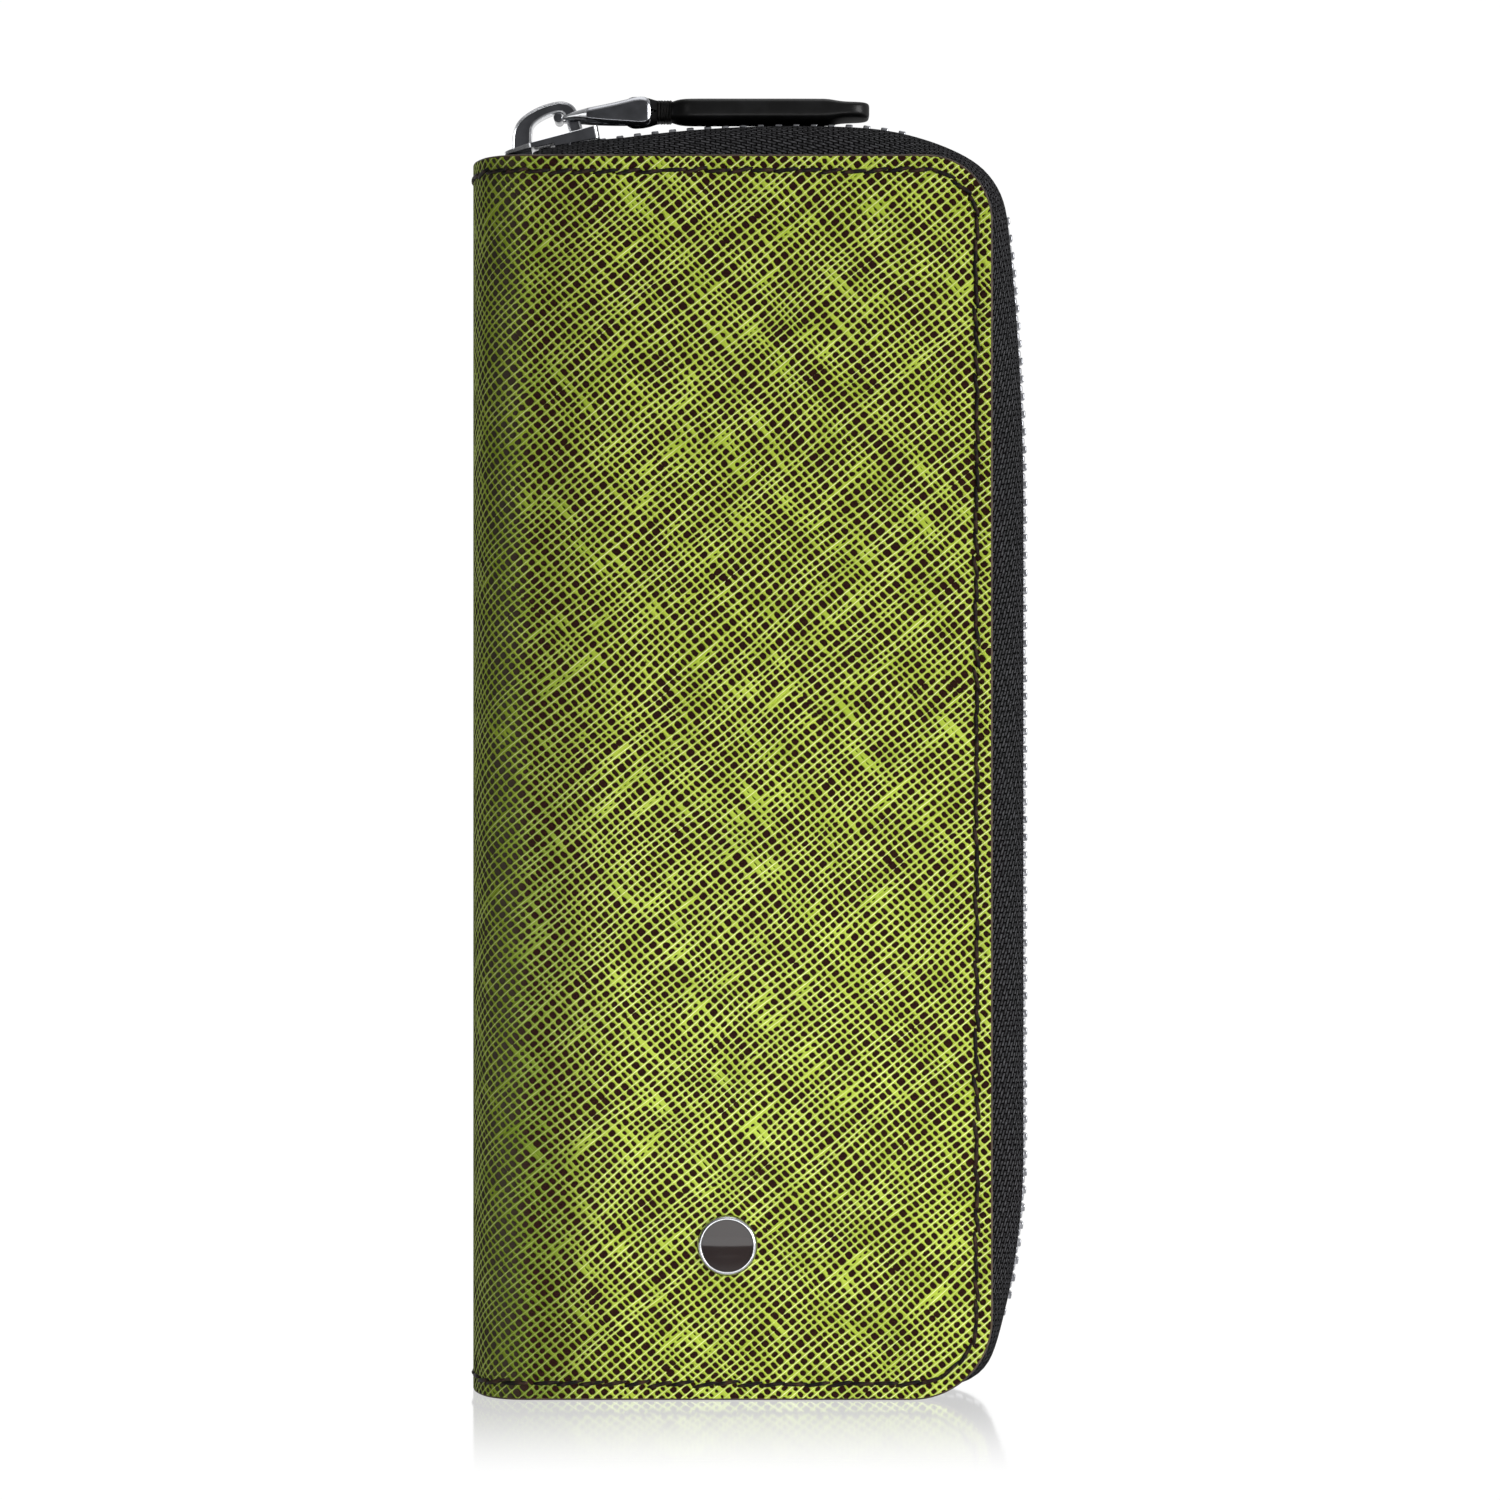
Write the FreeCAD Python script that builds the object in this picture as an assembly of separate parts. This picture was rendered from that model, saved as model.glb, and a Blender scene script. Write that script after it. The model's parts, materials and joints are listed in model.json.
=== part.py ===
import FreeCAD, Part
import math
import os

V = FreeCAD.Vector

# A zip-around leather case for two fountain pens, standing on its lower edge.
# Millimetres, +Z up, +X from the spine to the zip, the front cover faces -Y.
# The origin is under the middle of the whole case, at the height of its lower edge.

# Covers
CASE_HEIGHT = 160.0
CASE_WIDTH = 67.0
CASE_DEPTH = 22.0
CORNER_RADIUS = 10.0
LEATHER = 1.2
BOARD = 0.8
LINING = 0.5
BOARD_MARGIN = 6.0
LINING_MARGIN = 3.2
LINING_CORNER = 5.0
LINING_FOLD_GAP = 0.6

# Spine, a shallow round between the two covers
SPINE_REACH = 7.5
SPINE_CORNER_RADIUS = 6.5

# Seam along the edge of the leather
SEAM_INSET = 2.0
SEAM_GROOVE_WIDTH = 0.9
SEAM_GROOVE_DEPTH = 0.3
STITCH_PITCH = 2.9
STITCH_LENGTH = 2.3
STITCH_WIDTH = 0.55
STITCH_THICKNESS = 0.25

# Zip chain: an arch over the top, a corner, a straight side, a corner, a straight base
CHAIN_CREST_REACH = 4.6
CHAIN_SIDE_REACH = 4.5
CHAIN_BASE_INSET = 1.3
ARCH_RADIUS = 160.0
ARCH_CREST_FROM_SPINE = 42.0
ARCH_END_FROM_SPINE = 54.6
CHAIN_BASE_RADIUS = 13.0

# Zip tape, sewn inside the leather edge and leaning in to the chain
TAPE_FROM_SPINE = 8.0
TAPE_THICKNESS = 0.5
TAPE_FLANGE = 5.0
TAPE_BEND = 0.7
TAPE_FLAT = 4.6
TAPE_EDGE = 0.9
TAPE_RUN_STEPS = (10, 10, 8, 8, 6)

# Zip teeth, clamped on the tape edges
TOOTH_FROM_SPINE = 12.5
TOOTH_PITCH = 2.3
TOOTH_WIDTH = 0.95
TOOTH_THICKNESS = 1.5
TOOTH_ROOT = 2.3
TOOTH_HEAD = 0.5
TOOTH_CHAMFER = 0.25
TOOTH_SLOT_CLEARANCE = 0.12
STOP_LENGTH = 1.6

# Zip slider, whose two plates run over and under the chain
SLIDER_FROM_SPINE = 10.6
SLIDER_LENGTH = 12.6
SLIDER_TAIL_HALF = 3.1
SLIDER_SHOULDER_HALF = 3.8
SLIDER_NOSE_HALF = 2.2
SLIDER_SHOULDER = 3.6
SLIDER_NOSE_ROUND = 1.2
SLIDER_CHANNEL_CLEARANCE = 0.2
SLIDER_SLOT_CLEARANCE = 0.32
SLIDER_NOSE_PLATE = 0.4
SLIDER_TAIL_PLATE = 1.3
SLIDER_LOWER_PLATE = 0.6
SLIDER_LIP_LENGTH = 6.0
WEB_HALF = 0.6
WEB_LENGTH = 3.0
WEB_SETBACK = 0.5

# Crown on the upper plate, which holds the pull
CROWN_THICKNESS = 2.4
CROWN_TAIL_SETBACK = 2.2
CROWN_LENGTH = 9.7
CROWN_NOSE_HEIGHT = 4.4
CROWN_TAIL_HEIGHT = 5.1
CROWN_NOSE_LEAN = 0.7
CROWN_NOSE_LEG = 2.5
CROWN_TAIL_LEG = 1.6
CROWN_BAR = 1.55
CROWN_NOSE_ROUND = 3.0
CROWN_TAIL_ROUND = 2.0
CROWN_INNER_ROUND = 0.9

# Metal link, whose eye bar turns in the crown
LINK_BAR_RADIUS = 0.6
LINK_EYE_ROUND = 0.55
LINK_BAR_FROM_TAIL_LEG = 0.35
LINK_BAR_UNDER_CROWN = 0.35
LINK_LENGTH = 11.6
LINK_END_HEIGHT = 3.9
LINK_END_ROUND = 1.2
LINK_ARM = 0.9
LINK_CROWN_CLEARANCE = 0.3
LINK_END_HALF = 3.2
LINK_LIFT = 5.0
LINK_PIN = 10.2
LINK_PIN_RADIUS = 0.85
LINK_PIN_CLEARANCE = 0.1

# Leather tab, one strip folded round the pin of the link
STRAP = 0.95
STRAP_SIDE_CLEARANCE = 0.25
NECK_START = 3.0
NECK_HALF = 1.1
BINDING_LENGTH = 1.6
BINDING_THICKNESS = 0.45
BINDING_ROUND = 0.4
TAB_SHOULDER = 6.4
TAB_LENGTH = 30.2
TAB_THICKNESS = 2.9
TAB_TIP_LENGTH = 3.0
TAB_TIP_SLOPE = 2.2
TAB_TIP_THICKNESS = 2.1
TAB_HALF = 4.0
TAB_END_ROUND = 2.4
TAB_RISE = 0.25
CORE_SETBACK = 1.2
CORE_THICKNESS = 1.2

# Badge on the front cover
BADGE_FROM_SPINE = 33.3
BADGE_HEIGHT = 19.9
BADGE_DIAMETER = 7.7
BADGE_RIM = 0.5
BADGE_PROUD = 0.8
BADGE_BASE = 0.3
BADGE_DOME = 0.25
BADGE_LEG_SPREAD = 2.0
BADGE_LEG_WIDTH = 1.2
BADGE_LEG_THICKNESS = 0.4
BADGE_LEG_CLEARANCE = 0.1
WASHER_DIAMETER = 6.4
WASHER_THICKNESS = 0.4
WASHER_CLEARANCE = 0.4

# Pen sleeves on the back lining, and a slip pocket on the front lining
SLEEVE_WALL = 0.8
SLEEVE_BORE = 15.5
SLEEVE_CLEARANCE = 0.7
SLEEVE_ROUND = 6.0
SLEEVE_FLANGE = 3.5
SLEEVE_GAP = 0.4
SLEEVE_BASE = 12.0
SLEEVE_LENGTH = 100.0
SLEEVES_FROM_SPINE = 12.0
POCKET_THICKNESS = 0.7
POCKET_FROM_SPINE = 12.0
POCKET_WIDTH = 49.0
POCKET_BASE = 12.0
POCKET_LENGTH = 92.0
POCKET_ROUND = 3.0
POCKET_NOTCH = 10.0
INNER_SEAM_INSET = 1.5

# Places that follow from the sizes above
FRONT = -1
BACK = 1
LEFT = -(CASE_WIDTH + CHAIN_SIDE_REACH + TOOTH_THICKNESS / 2) / 2
RIGHT = LEFT + CASE_WIDTH
FOLD_X = LEFT + SPINE_REACH
INNER_FACE = CASE_DEPTH / 2 - LEATHER - BOARD - LINING
SLEEVE_CREST = POCKET_THICKNESS + SLEEVE_CLEARANCE - INNER_FACE
CREST = V(LEFT + ARCH_CREST_FROM_SPINE, 0, CASE_HEIGHT + CHAIN_CREST_REACH)
ARCH_CENTRE = CREST - V(0, 0, ARCH_RADIUS)
CHANNEL_HALF = TOOTH_THICKNESS / 2 + SLIDER_CHANNEL_CLEARANCE
SLOT_HALF = TAPE_THICKNESS / 2 + SLIDER_SLOT_CLEARANCE
TOUCH = 1e-6


def upright(point):
    """A drawing of width and height, stood up across the case."""
    return V(point.x, 0, point.y)


def level(point):
    """A drawing of width and depth, laid flat."""
    return V(point.x, point.y, 0)


def rounded_face(corners, lift):
    """The face inside straight sides, with each corner given as (a, b, radius)."""
    bends = []
    for index, (a, b, radius) in enumerate(corners):
        here = V(a, b, 0)
        back = V(*corners[index - 1][:2], 0) - here
        ahead = V(*corners[(index + 1) % len(corners)][:2], 0) - here
        back.normalize()
        ahead.normalize()
        half = back.getAngle(ahead) / 2
        inward = back + ahead
        reach = radius / math.tan(half)
        if radius > 0:
            inward.normalize()
        top = here + inward * (radius / math.sin(half) - radius)
        bends.append((here + back * reach, top, here + ahead * reach))
    edges = []
    for index, (start, top, end) in enumerate(bends):
        if start.distanceToPoint(end) > TOUCH:
            edges.append(Part.Arc(lift(start), lift(top), lift(end)).toShape())
        following = bends[(index + 1) % len(bends)][0]
        if end.distanceToPoint(following) > TOUCH:
            edges.append(Part.LineSegment(lift(end), lift(following)).toShape())
    return Part.Face(Part.Wire(edges))


def thick(face, reach):
    """A flat face drawn out both ways along the depth, to +reach and -reach."""
    solid = face.extrude(V(0, 2 * reach, 0))
    solid.translate(V(0, -reach, 0))
    return solid


def tall(face, base, height):
    """A flat face of width and depth drawn upwards from a base height."""
    solid = face.extrude(V(0, 0, height))
    solid.translate(V(0, 0, base))
    return solid


def layer(face, side, sunk, thickness):
    """A sheet in the stack of one cover, sunk below the outer face of its leather."""
    sheet = face.extrude(V(0, -side * thickness, 0))
    sheet.translate(V(0, side * (CASE_DEPTH / 2 - sunk), 0))
    return sheet


def placed(shape, place):
    """A copy of a shape, moved by a placement."""
    copy = shape.copy()
    copy.Placement = place.multiply(copy.Placement)
    return copy


def line_run(start, end):
    """A straight run of a path, as its length and a function of the share along it."""
    heading = math.atan2(start[1] - end[1], end[0] - start[0])

    def at(share):
        x = start[0] + (end[0] - start[0]) * share
        z = start[1] + (end[1] - start[1]) * share
        return x, z, heading

    return math.dist(start, end), at


def arc_run(centre, radius, first, last):
    """A round run of a path, clockwise seen from the front, between two headings."""

    def at(share):
        heading = first + (last - first) * share
        x = centre[0] + radius * math.sin(heading)
        z = centre[1] + radius * math.cos(heading)
        return x, z, heading

    return radius * (last - first), at


def cover_path(inset, left):
    """Along the edge of a cover, from the spine over the top and round to the base."""
    bend = CORNER_RADIUS - inset
    top = CASE_HEIGHT - CORNER_RADIUS
    side = RIGHT - CORNER_RADIUS
    quarter = math.pi / 2
    return [
        line_run((left, CASE_HEIGHT - inset), (side, CASE_HEIGHT - inset)),
        arc_run((side, top), bend, 0, quarter),
        line_run((RIGHT - inset, top), (RIGHT - inset, CORNER_RADIUS)),
        arc_run((side, CORNER_RADIUS), bend, quarter, math.pi),
        line_run((side, inset), (left, inset)),
    ]


def chain_path(left):
    """Along the middle of the zip chain, in the same five runs as the cover's edge."""
    first = math.asin((left - CREST.x) / ARCH_RADIUS)
    last = math.asin((ARCH_END_FROM_SPINE - ARCH_CREST_FROM_SPINE) / ARCH_RADIUS)
    quarter = math.pi / 2
    side = RIGHT + CHAIN_SIDE_REACH
    bend = (side - LEFT - ARCH_END_FROM_SPINE) / (1 - math.sin(last))
    corner = (side - bend, ARCH_CENTRE.z + (ARCH_RADIUS - bend) * math.cos(last))
    base = (side - CHAIN_BASE_RADIUS, CHAIN_BASE_INSET + CHAIN_BASE_RADIUS)
    return [
        arc_run((ARCH_CENTRE.x, ARCH_CENTRE.z), ARCH_RADIUS, first, last),
        arc_run(corner, bend, last, quarter),
        line_run((side, corner[1]), (side, base[1])),
        arc_run(base, CHAIN_BASE_RADIUS, quarter, math.pi),
        line_run((base[0], CHAIN_BASE_INSET), (left, CHAIN_BASE_INSET)),
    ]


def spaced(path, pitch, offset, end_offset):
    """Points at an even pitch along a path, each as (x, z, heading)."""
    total = sum(length for length, at in path)
    count = int((total - offset - end_offset) / pitch)
    points = []
    for index in range(count + 1):
        left_over = offset + index * pitch
        for length, at in path:
            if left_over <= length:
                points.append(at(left_over / length))
                break
            left_over -= length
    return points


def cover_face(inset, left, radius):
    """The outline of a cover, drawn in from its edge everywhere but at the fold."""
    right = RIGHT - inset
    top = CASE_HEIGHT - inset
    corners = [(left, inset, 0), (right, inset, radius), (right, top, radius), (left, top, 0)]
    return rounded_face(corners, upright)


def stitch(place, along, outward):
    """One straight stitch lying on a surface, its middle at the given place."""
    corner = V(-STITCH_LENGTH / 2, -STITCH_WIDTH / 2, 0)
    thread = Part.makeBox(STITCH_LENGTH, STITCH_WIDTH, STITCH_THICKNESS, corner)
    turn = FreeCAD.Rotation(along, outward.cross(along), outward, "XZY")
    return placed(thread, FreeCAD.Placement(place, turn))


def stitches_on(points, y, side):
    """Stitches along a path on a flat face whose outward side is along the depth."""
    threads = []
    for x, z, heading in points:
        along = V(math.cos(heading), 0, -math.sin(heading))
        threads.append(stitch(V(x, y, z), along, V(0, side, 0)))
    return Part.Compound(threads)


def cover(side):
    """One leather cover, with the sunk groove that its seam lies in."""
    outer = SEAM_INSET - SEAM_GROOVE_WIDTH / 2
    inner = SEAM_INSET + SEAM_GROOVE_WIDTH / 2
    ring = cover_face(outer, FOLD_X, CORNER_RADIUS - outer)
    ring = ring.cut(cover_face(inner, FOLD_X, CORNER_RADIUS - inner))
    leather = layer(cover_face(0, FOLD_X, CORNER_RADIUS), side, 0, LEATHER)
    return leather.cut(layer(ring, side, 0, SEAM_GROOVE_DEPTH))


def cover_stitching(side):
    """The seam of one cover, along its edge from the fold to the fold."""
    path = cover_path(SEAM_INSET, FOLD_X)
    points = spaced(path, STITCH_PITCH, STITCH_PITCH / 2, STITCH_PITCH / 2)
    return stitches_on(points, side * (CASE_DEPTH / 2 - SEAM_GROOVE_DEPTH), side)


def stiffener(side):
    """The board that keeps one cover flat."""
    inset = BOARD_MARGIN
    left = FOLD_X + LINING_FOLD_GAP
    return layer(cover_face(inset, left, CORNER_RADIUS - inset), side, LEATHER, BOARD)


def lining(side):
    """The suede that covers the board and the sewn edge of the zip."""
    left = FOLD_X + LINING_FOLD_GAP
    return layer(cover_face(LINING_MARGIN, left, LINING_CORNER), side, LEATHER + BOARD, LINING)


def spine_arcs(sunk):
    """The section of the spine at a depth below its outer face, front to back."""
    bend = SPINE_CORNER_RADIUS
    half = CASE_DEPTH / 2 - bend
    wide = (SPINE_REACH**2 + half**2 - bend**2) / (2 * (SPINE_REACH - bend))
    turn = math.atan2(half, wide - SPINE_REACH)
    edges = []
    ends = []
    for side in (FRONT, BACK):
        centre = V(FOLD_X, side * half, 0)
        out = V(0, side, 0)
        back = V(-math.cos(turn), side * math.sin(turn), 0)
        middle = out + back
        middle.normalize()
        points = [centre + way * (bend - sunk) for way in (out, middle, back)]
        edges.append(Part.Arc(*points).toShape())
        ends.append(points)
    joint = Part.Arc(ends[0][2], V(LEFT + sunk, 0, 0), ends[1][2]).toShape()
    return [edges[0], joint, edges[1]], (ends[0][0], ends[1][0])


def spine_shell(sunk, thickness, base, height):
    """A curved sheet in the stack of the spine."""
    outer, outer_ends = spine_arcs(sunk)
    inner, inner_ends = spine_arcs(sunk + thickness)
    closing = [Part.LineSegment(a, b).toShape() for a, b in zip(outer_ends, inner_ends)]
    wire = Part.Wire(Part.__sortEdges__(outer + inner + closing))
    return tall(Part.Face(wire), base, height)


def spine_cover():
    """The leather of the spine, with the seam's groove across its two ends."""
    leather = spine_shell(0, LEATHER, 0, CASE_HEIGHT)
    for seam in (SEAM_INSET, CASE_HEIGHT - SEAM_INSET):
        base = seam - SEAM_GROOVE_WIDTH / 2
        leather = leather.cut(spine_shell(0, SEAM_GROOVE_DEPTH, base, SEAM_GROOVE_WIDTH))
    return leather


def spine_lining():
    """The suede inside the spine, which stops short of both folds."""
    height = CASE_HEIGHT - 2 * LINING_MARGIN
    sheet = spine_shell(LEATHER, LINING, LINING_MARGIN, height)
    fold = Part.makeBox(SPINE_REACH, CASE_DEPTH, CASE_HEIGHT)
    fold.translate(V(FOLD_X - LINING_FOLD_GAP, -CASE_DEPTH / 2, 0))
    return sheet.cut(fold)


def spine_stitching():
    """The seam where it crosses the spine, at the top and at the base."""
    edges, ends = spine_arcs(SEAM_GROOVE_DEPTH)
    wire = Part.Wire(Part.__sortEdges__(edges))
    count = int(wire.Length / STITCH_PITCH)
    pitch = wire.Length / count
    threads = []
    for edge_height in (SEAM_INSET, CASE_HEIGHT - SEAM_INSET):
        for index in range(count):
            left_over = (index + 0.5) * pitch
            for edge in wire.OrderedEdges:
                if left_over <= edge.Length:
                    break
                left_over -= edge.Length
            at = edge.getParameterByLength(left_over)
            place = edge.valueAt(at)
            along = edge.tangentAt(at)
            outward = V(along.y, -along.x, 0)
            if outward.x * (place.x - FOLD_X) + outward.y * place.y < 0:
                outward = outward * -1
            threads.append(stitch(place + V(0, 0, edge_height), along, outward))
    return Part.Compound(threads)


def zip_tape(side):
    """One tape: a flange under the leather, a leaning wall, and a flat edge band."""
    left = LEFT + TAPE_FROM_SPINE
    half = TAPE_THICKNESS / 2
    under = CASE_DEPTH / 2 - LEATHER
    sections = []
    runs = zip(chain_path(left), cover_path(0, left), TAPE_RUN_STEPS)
    for (chain_length, chain_at), (cover_length, cover_at), steps in runs:
        for step in range(1 if sections else 0, steps + 1):
            chain_x, chain_z, chain_heading = chain_at(step / steps)
            edge_x, edge_z, heading = cover_at(step / steps)
            chain = V(chain_x, 0, chain_z)
            edge = V(edge_x, 0, edge_z)
            out = V(math.sin(heading), 0, math.cos(heading))
            bend = min(0, (chain - edge).dot(out)) - TAPE_BEND
            corners = [
                (under, edge - out * TAPE_FLANGE),
                (under, edge + out * (bend + half)),
                (TAPE_FLAT, chain + out * half),
                (TAPE_EDGE, chain + out * half),
                (TAPE_EDGE, chain - out * half),
                (TAPE_FLAT, chain - out * half),
                (under - TAPE_THICKNESS, edge + out * (bend - half)),
                (under - TAPE_THICKNESS, edge - out * TAPE_FLANGE),
            ]
            points = [point + V(0, side * away, 0) for away, point in corners]
            sections.append(Part.makePolygon(points + points[:1]))
    return Part.makeLoft(sections, True, True)


def clamp_profile(side, tip):
    """The section of a tooth or stop that grips a tape edge and ends at a tip."""
    root = TOOTH_ROOT
    top = TOOTH_THICKNESS / 2
    slot = TAPE_THICKNESS / 2 + TOOTH_SLOT_CLEARANCE
    floor = TAPE_EDGE - TOOTH_SLOT_CLEARANCE
    cut = TOOTH_CHAMFER
    upper = [(floor, slot), (root, slot), (root, top - cut), (root - cut, top)]
    upper += [(tip + cut, top), (tip, top - cut)]
    outline = upper + [(away, -height) for away, height in reversed(upper)]
    points = [V(0, side * away, height) for away, height in outline]
    return Part.Face(Part.makePolygon(points + points[:1]))


def clamps(side, tip, length, points):
    """Copies of one clamp along the chain, each turned to the chain's heading."""
    profile = clamp_profile(side, tip)
    blank = profile.extrude(V(length, 0, 0))
    blank.translate(V(-length / 2, 0, 0))
    solids = []
    for x, z, heading in points:
        turn = FreeCAD.Rotation(V(0, 1, 0), math.degrees(heading))
        solids.append(placed(blank, FreeCAD.Placement(V(x, 0, z), turn)))
    return Part.Compound(solids)


def zip_teeth(side):
    """One row of teeth, half a pitch along from the other row."""
    path = chain_path(LEFT + TOOTH_FROM_SPINE)
    offset = TOOTH_PITCH / 2 if side == BACK else 0
    points = spaced(path, TOOTH_PITCH, offset, TOOTH_PITCH)
    return clamps(side, -TOOTH_HEAD, TOOTH_WIDTH, points)


def zip_stops(side):
    """The two end stops of one tape, which never cross the middle of the chain."""
    path = chain_path(LEFT + TAPE_FROM_SPINE + STOP_LENGTH)
    ends = [path[0][1](0), path[-1][1](1)]
    gap = TAPE_EDGE - TOOTH_SLOT_CLEARANCE - TOOTH_CHAMFER
    return clamps(side, gap, STOP_LENGTH, ends)


def slider_place():
    """Where the slider stands on the arch, from its drawing over the crest."""
    swing = math.asin((SLIDER_FROM_SPINE - ARCH_CREST_FROM_SPINE) / ARCH_RADIUS)
    turn = FreeCAD.Rotation(V(0, 1, 0), math.degrees(swing))
    return FreeCAD.Placement(ARCH_CENTRE + turn.multVec(V(0, 0, ARCH_RADIUS)), turn)


def deck_place():
    """The sloping upper face of the slider, from its middle."""
    rise = SLIDER_TAIL_PLATE - SLIDER_NOSE_PLATE
    slope = math.degrees(math.atan2(rise, SLIDER_LENGTH))
    middle = CHANNEL_HALF + (SLIDER_TAIL_PLATE + SLIDER_NOSE_PLATE) / 2
    turn = FreeCAD.Rotation(V(0, 1, 0), -slope)
    return slider_place().multiply(FreeCAD.Placement(V(0, 0, middle), turn))


def slider_body():
    """Two plates joined by a web at the nose, with lips round the chain."""
    end = SLIDER_LENGTH / 2
    shoulder = SLIDER_SHOULDER - end
    half_outline = [
        (end, SLIDER_TAIL_HALF, SLIDER_NOSE_ROUND / 2),
        (shoulder, SLIDER_SHOULDER_HALF, SLIDER_NOSE_ROUND),
        (-end, SLIDER_NOSE_HALF, SLIDER_NOSE_ROUND),
    ]
    outline = half_outline + [(a, -b, radius) for a, b, radius in reversed(half_outline)]
    plan = rounded_face(outline, level)
    roof = CHANNEL_HALF
    wedge = [
        (-end, roof, 0),
        (end, roof, 0),
        (end, roof + SLIDER_TAIL_PLATE, 0),
        (-end, roof + SLIDER_NOSE_PLATE, 0),
    ]
    reach = SLIDER_SHOULDER_HALF
    floor = -roof - SLIDER_LOWER_PLATE
    whole = tall(plan, floor, roof + SLIDER_TAIL_PLATE - floor)
    upper = thick(rounded_face(wedge, upright), reach).common(whole)
    body = upper.fuse(tall(plan, floor, SLIDER_LOWER_PLATE))
    for side in (FRONT, BACK):
        for base in (-roof, SLOT_HALF):
            inner = TOOTH_ROOT + SLIDER_CHANNEL_CLEARANCE
            start = V(end - SLIDER_LIP_LENGTH, inner if side == BACK else -inner - reach, base)
            lip = Part.makeBox(SLIDER_LIP_LENGTH, reach, roof - SLOT_HALF, start)
            body = body.fuse(lip.common(whole))
    web = Part.makeBox(WEB_LENGTH, 2 * WEB_HALF, 2 * roof, V(-end + WEB_SETBACK, -WEB_HALF, -roof))
    return placed(body.fuse(web).removeSplitter(), slider_place())


def crown_corners():
    """The crown's outer corners and its window's, on the slider's sloping deck."""
    tail = SLIDER_LENGTH / 2 - CROWN_TAIL_SETBACK
    nose = tail - CROWN_LENGTH
    lean = nose + CROWN_NOSE_LEAN
    outer = [
        (nose, 0, 0),
        (lean, CROWN_NOSE_HEIGHT, CROWN_NOSE_ROUND),
        (tail, CROWN_TAIL_HEIGHT, CROWN_TAIL_ROUND),
        (tail, 0, 0),
    ]
    window = [
        (nose + CROWN_NOSE_LEG, 0, 0),
        (lean + CROWN_NOSE_LEG, CROWN_NOSE_HEIGHT - CROWN_BAR, CROWN_INNER_ROUND),
        (tail - CROWN_TAIL_LEG, CROWN_TAIL_HEIGHT - CROWN_BAR, CROWN_INNER_ROUND),
        (tail - CROWN_TAIL_LEG, 0, 0),
    ]
    return outer, window


def slider_crown():
    """The arch on the slider's deck that the pull hangs from."""
    outer, window = crown_corners()
    face = rounded_face(outer, upright).cut(rounded_face(window, upright))
    return placed(thick(face, CROWN_THICKNESS / 2), deck_place())


def link_place():
    """The axis that the link turns on, under the bar of the crown, and its lift at rest."""
    outer, window = crown_corners()
    along = window[2][0] - LINK_BAR_FROM_TAIL_LEG - LINK_BAR_RADIUS
    slope = (window[2][1] - window[1][1]) / (window[2][0] - window[1][0])
    roof = window[2][1] - slope * (window[2][0] - along)
    height = roof - LINK_BAR_UNDER_CROWN - LINK_BAR_RADIUS
    turn = FreeCAD.Rotation(V(0, 1, 0), -LINK_LIFT)
    return FreeCAD.Placement(deck_place().multVec(V(along, 0, height)), turn)


def pull_link():
    """A tapered frame: eye bar at one end, two arms, and a pin across its mouth."""
    start = -LINK_BAR_RADIUS
    end = LINK_LENGTH + start
    eye = LINK_BAR_RADIUS
    tall_half = LINK_END_HEIGHT / 2
    profile = [
        (start, -eye, LINK_EYE_ROUND),
        (end, -tall_half, LINK_END_ROUND),
        (end, tall_half, LINK_END_ROUND),
        (start, eye, LINK_EYE_ROUND),
    ]
    eye_inner = CROWN_THICKNESS / 2 + LINK_CROWN_CLEARANCE
    eye_half = eye_inner + LINK_ARM
    plan = [
        (start, -eye_half, 0),
        (end, -LINK_END_HALF, 0),
        (end, LINK_END_HALF, 0),
        (start, eye_half, 0),
    ]
    window = [
        (LINK_BAR_RADIUS, -eye_inner, 0),
        (LINK_LENGTH, -LINK_END_HALF + LINK_ARM, 0),
        (LINK_LENGTH, LINK_END_HALF - LINK_ARM, 0),
        (LINK_BAR_RADIUS, eye_inner, 0),
    ]
    reach = LINK_END_HALF
    blank = thick(rounded_face(profile, upright), reach)
    blank = blank.common(tall(rounded_face(plan, level), -reach, 2 * reach))
    frame = blank.cut(tall(rounded_face(window, level), -reach, 2 * reach))
    pin_half = LINK_END_HALF - LINK_ARM / 2
    pin = Part.makeCylinder(LINK_PIN_RADIUS, 2 * pin_half, V(LINK_PIN, -pin_half, 0), V(0, 1, 0))
    return placed(frame.fuse(pin).removeSplitter(), link_place())


def tab_place():
    """The pin of the link, which the leather tab turns on."""
    return FreeCAD.Placement(link_place().multVec(V(LINK_PIN, 0, 0)), FreeCAD.Rotation())


def strap_half():
    """Half the width of the strip where it passes between the arms of the link."""
    share = (LINK_PIN - LINK_PIN_RADIUS - LINK_PIN_CLEARANCE - STRAP) / LINK_LENGTH
    eye_inner = CROWN_THICKNESS / 2 + LINK_CROWN_CLEARANCE
    mouth = LINK_END_HALF - LINK_ARM
    return eye_inner + (mouth - eye_inner) * share - STRAP_SIDE_CLEARANCE


def tab_core():
    """The filler between the two plies of the tab."""
    start = TAB_SHOULDER + CORE_SETBACK
    end = TAB_LENGTH - TAB_TIP_LENGTH - TAB_TIP_SLOPE - CORE_SETBACK
    half = TAB_HALF - CORE_SETBACK
    base = TAB_RISE - CORE_THICKNESS / 2
    return Part.makeBox(end - start, 2 * half, CORE_THICKNESS, V(start, -half, base))


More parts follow.
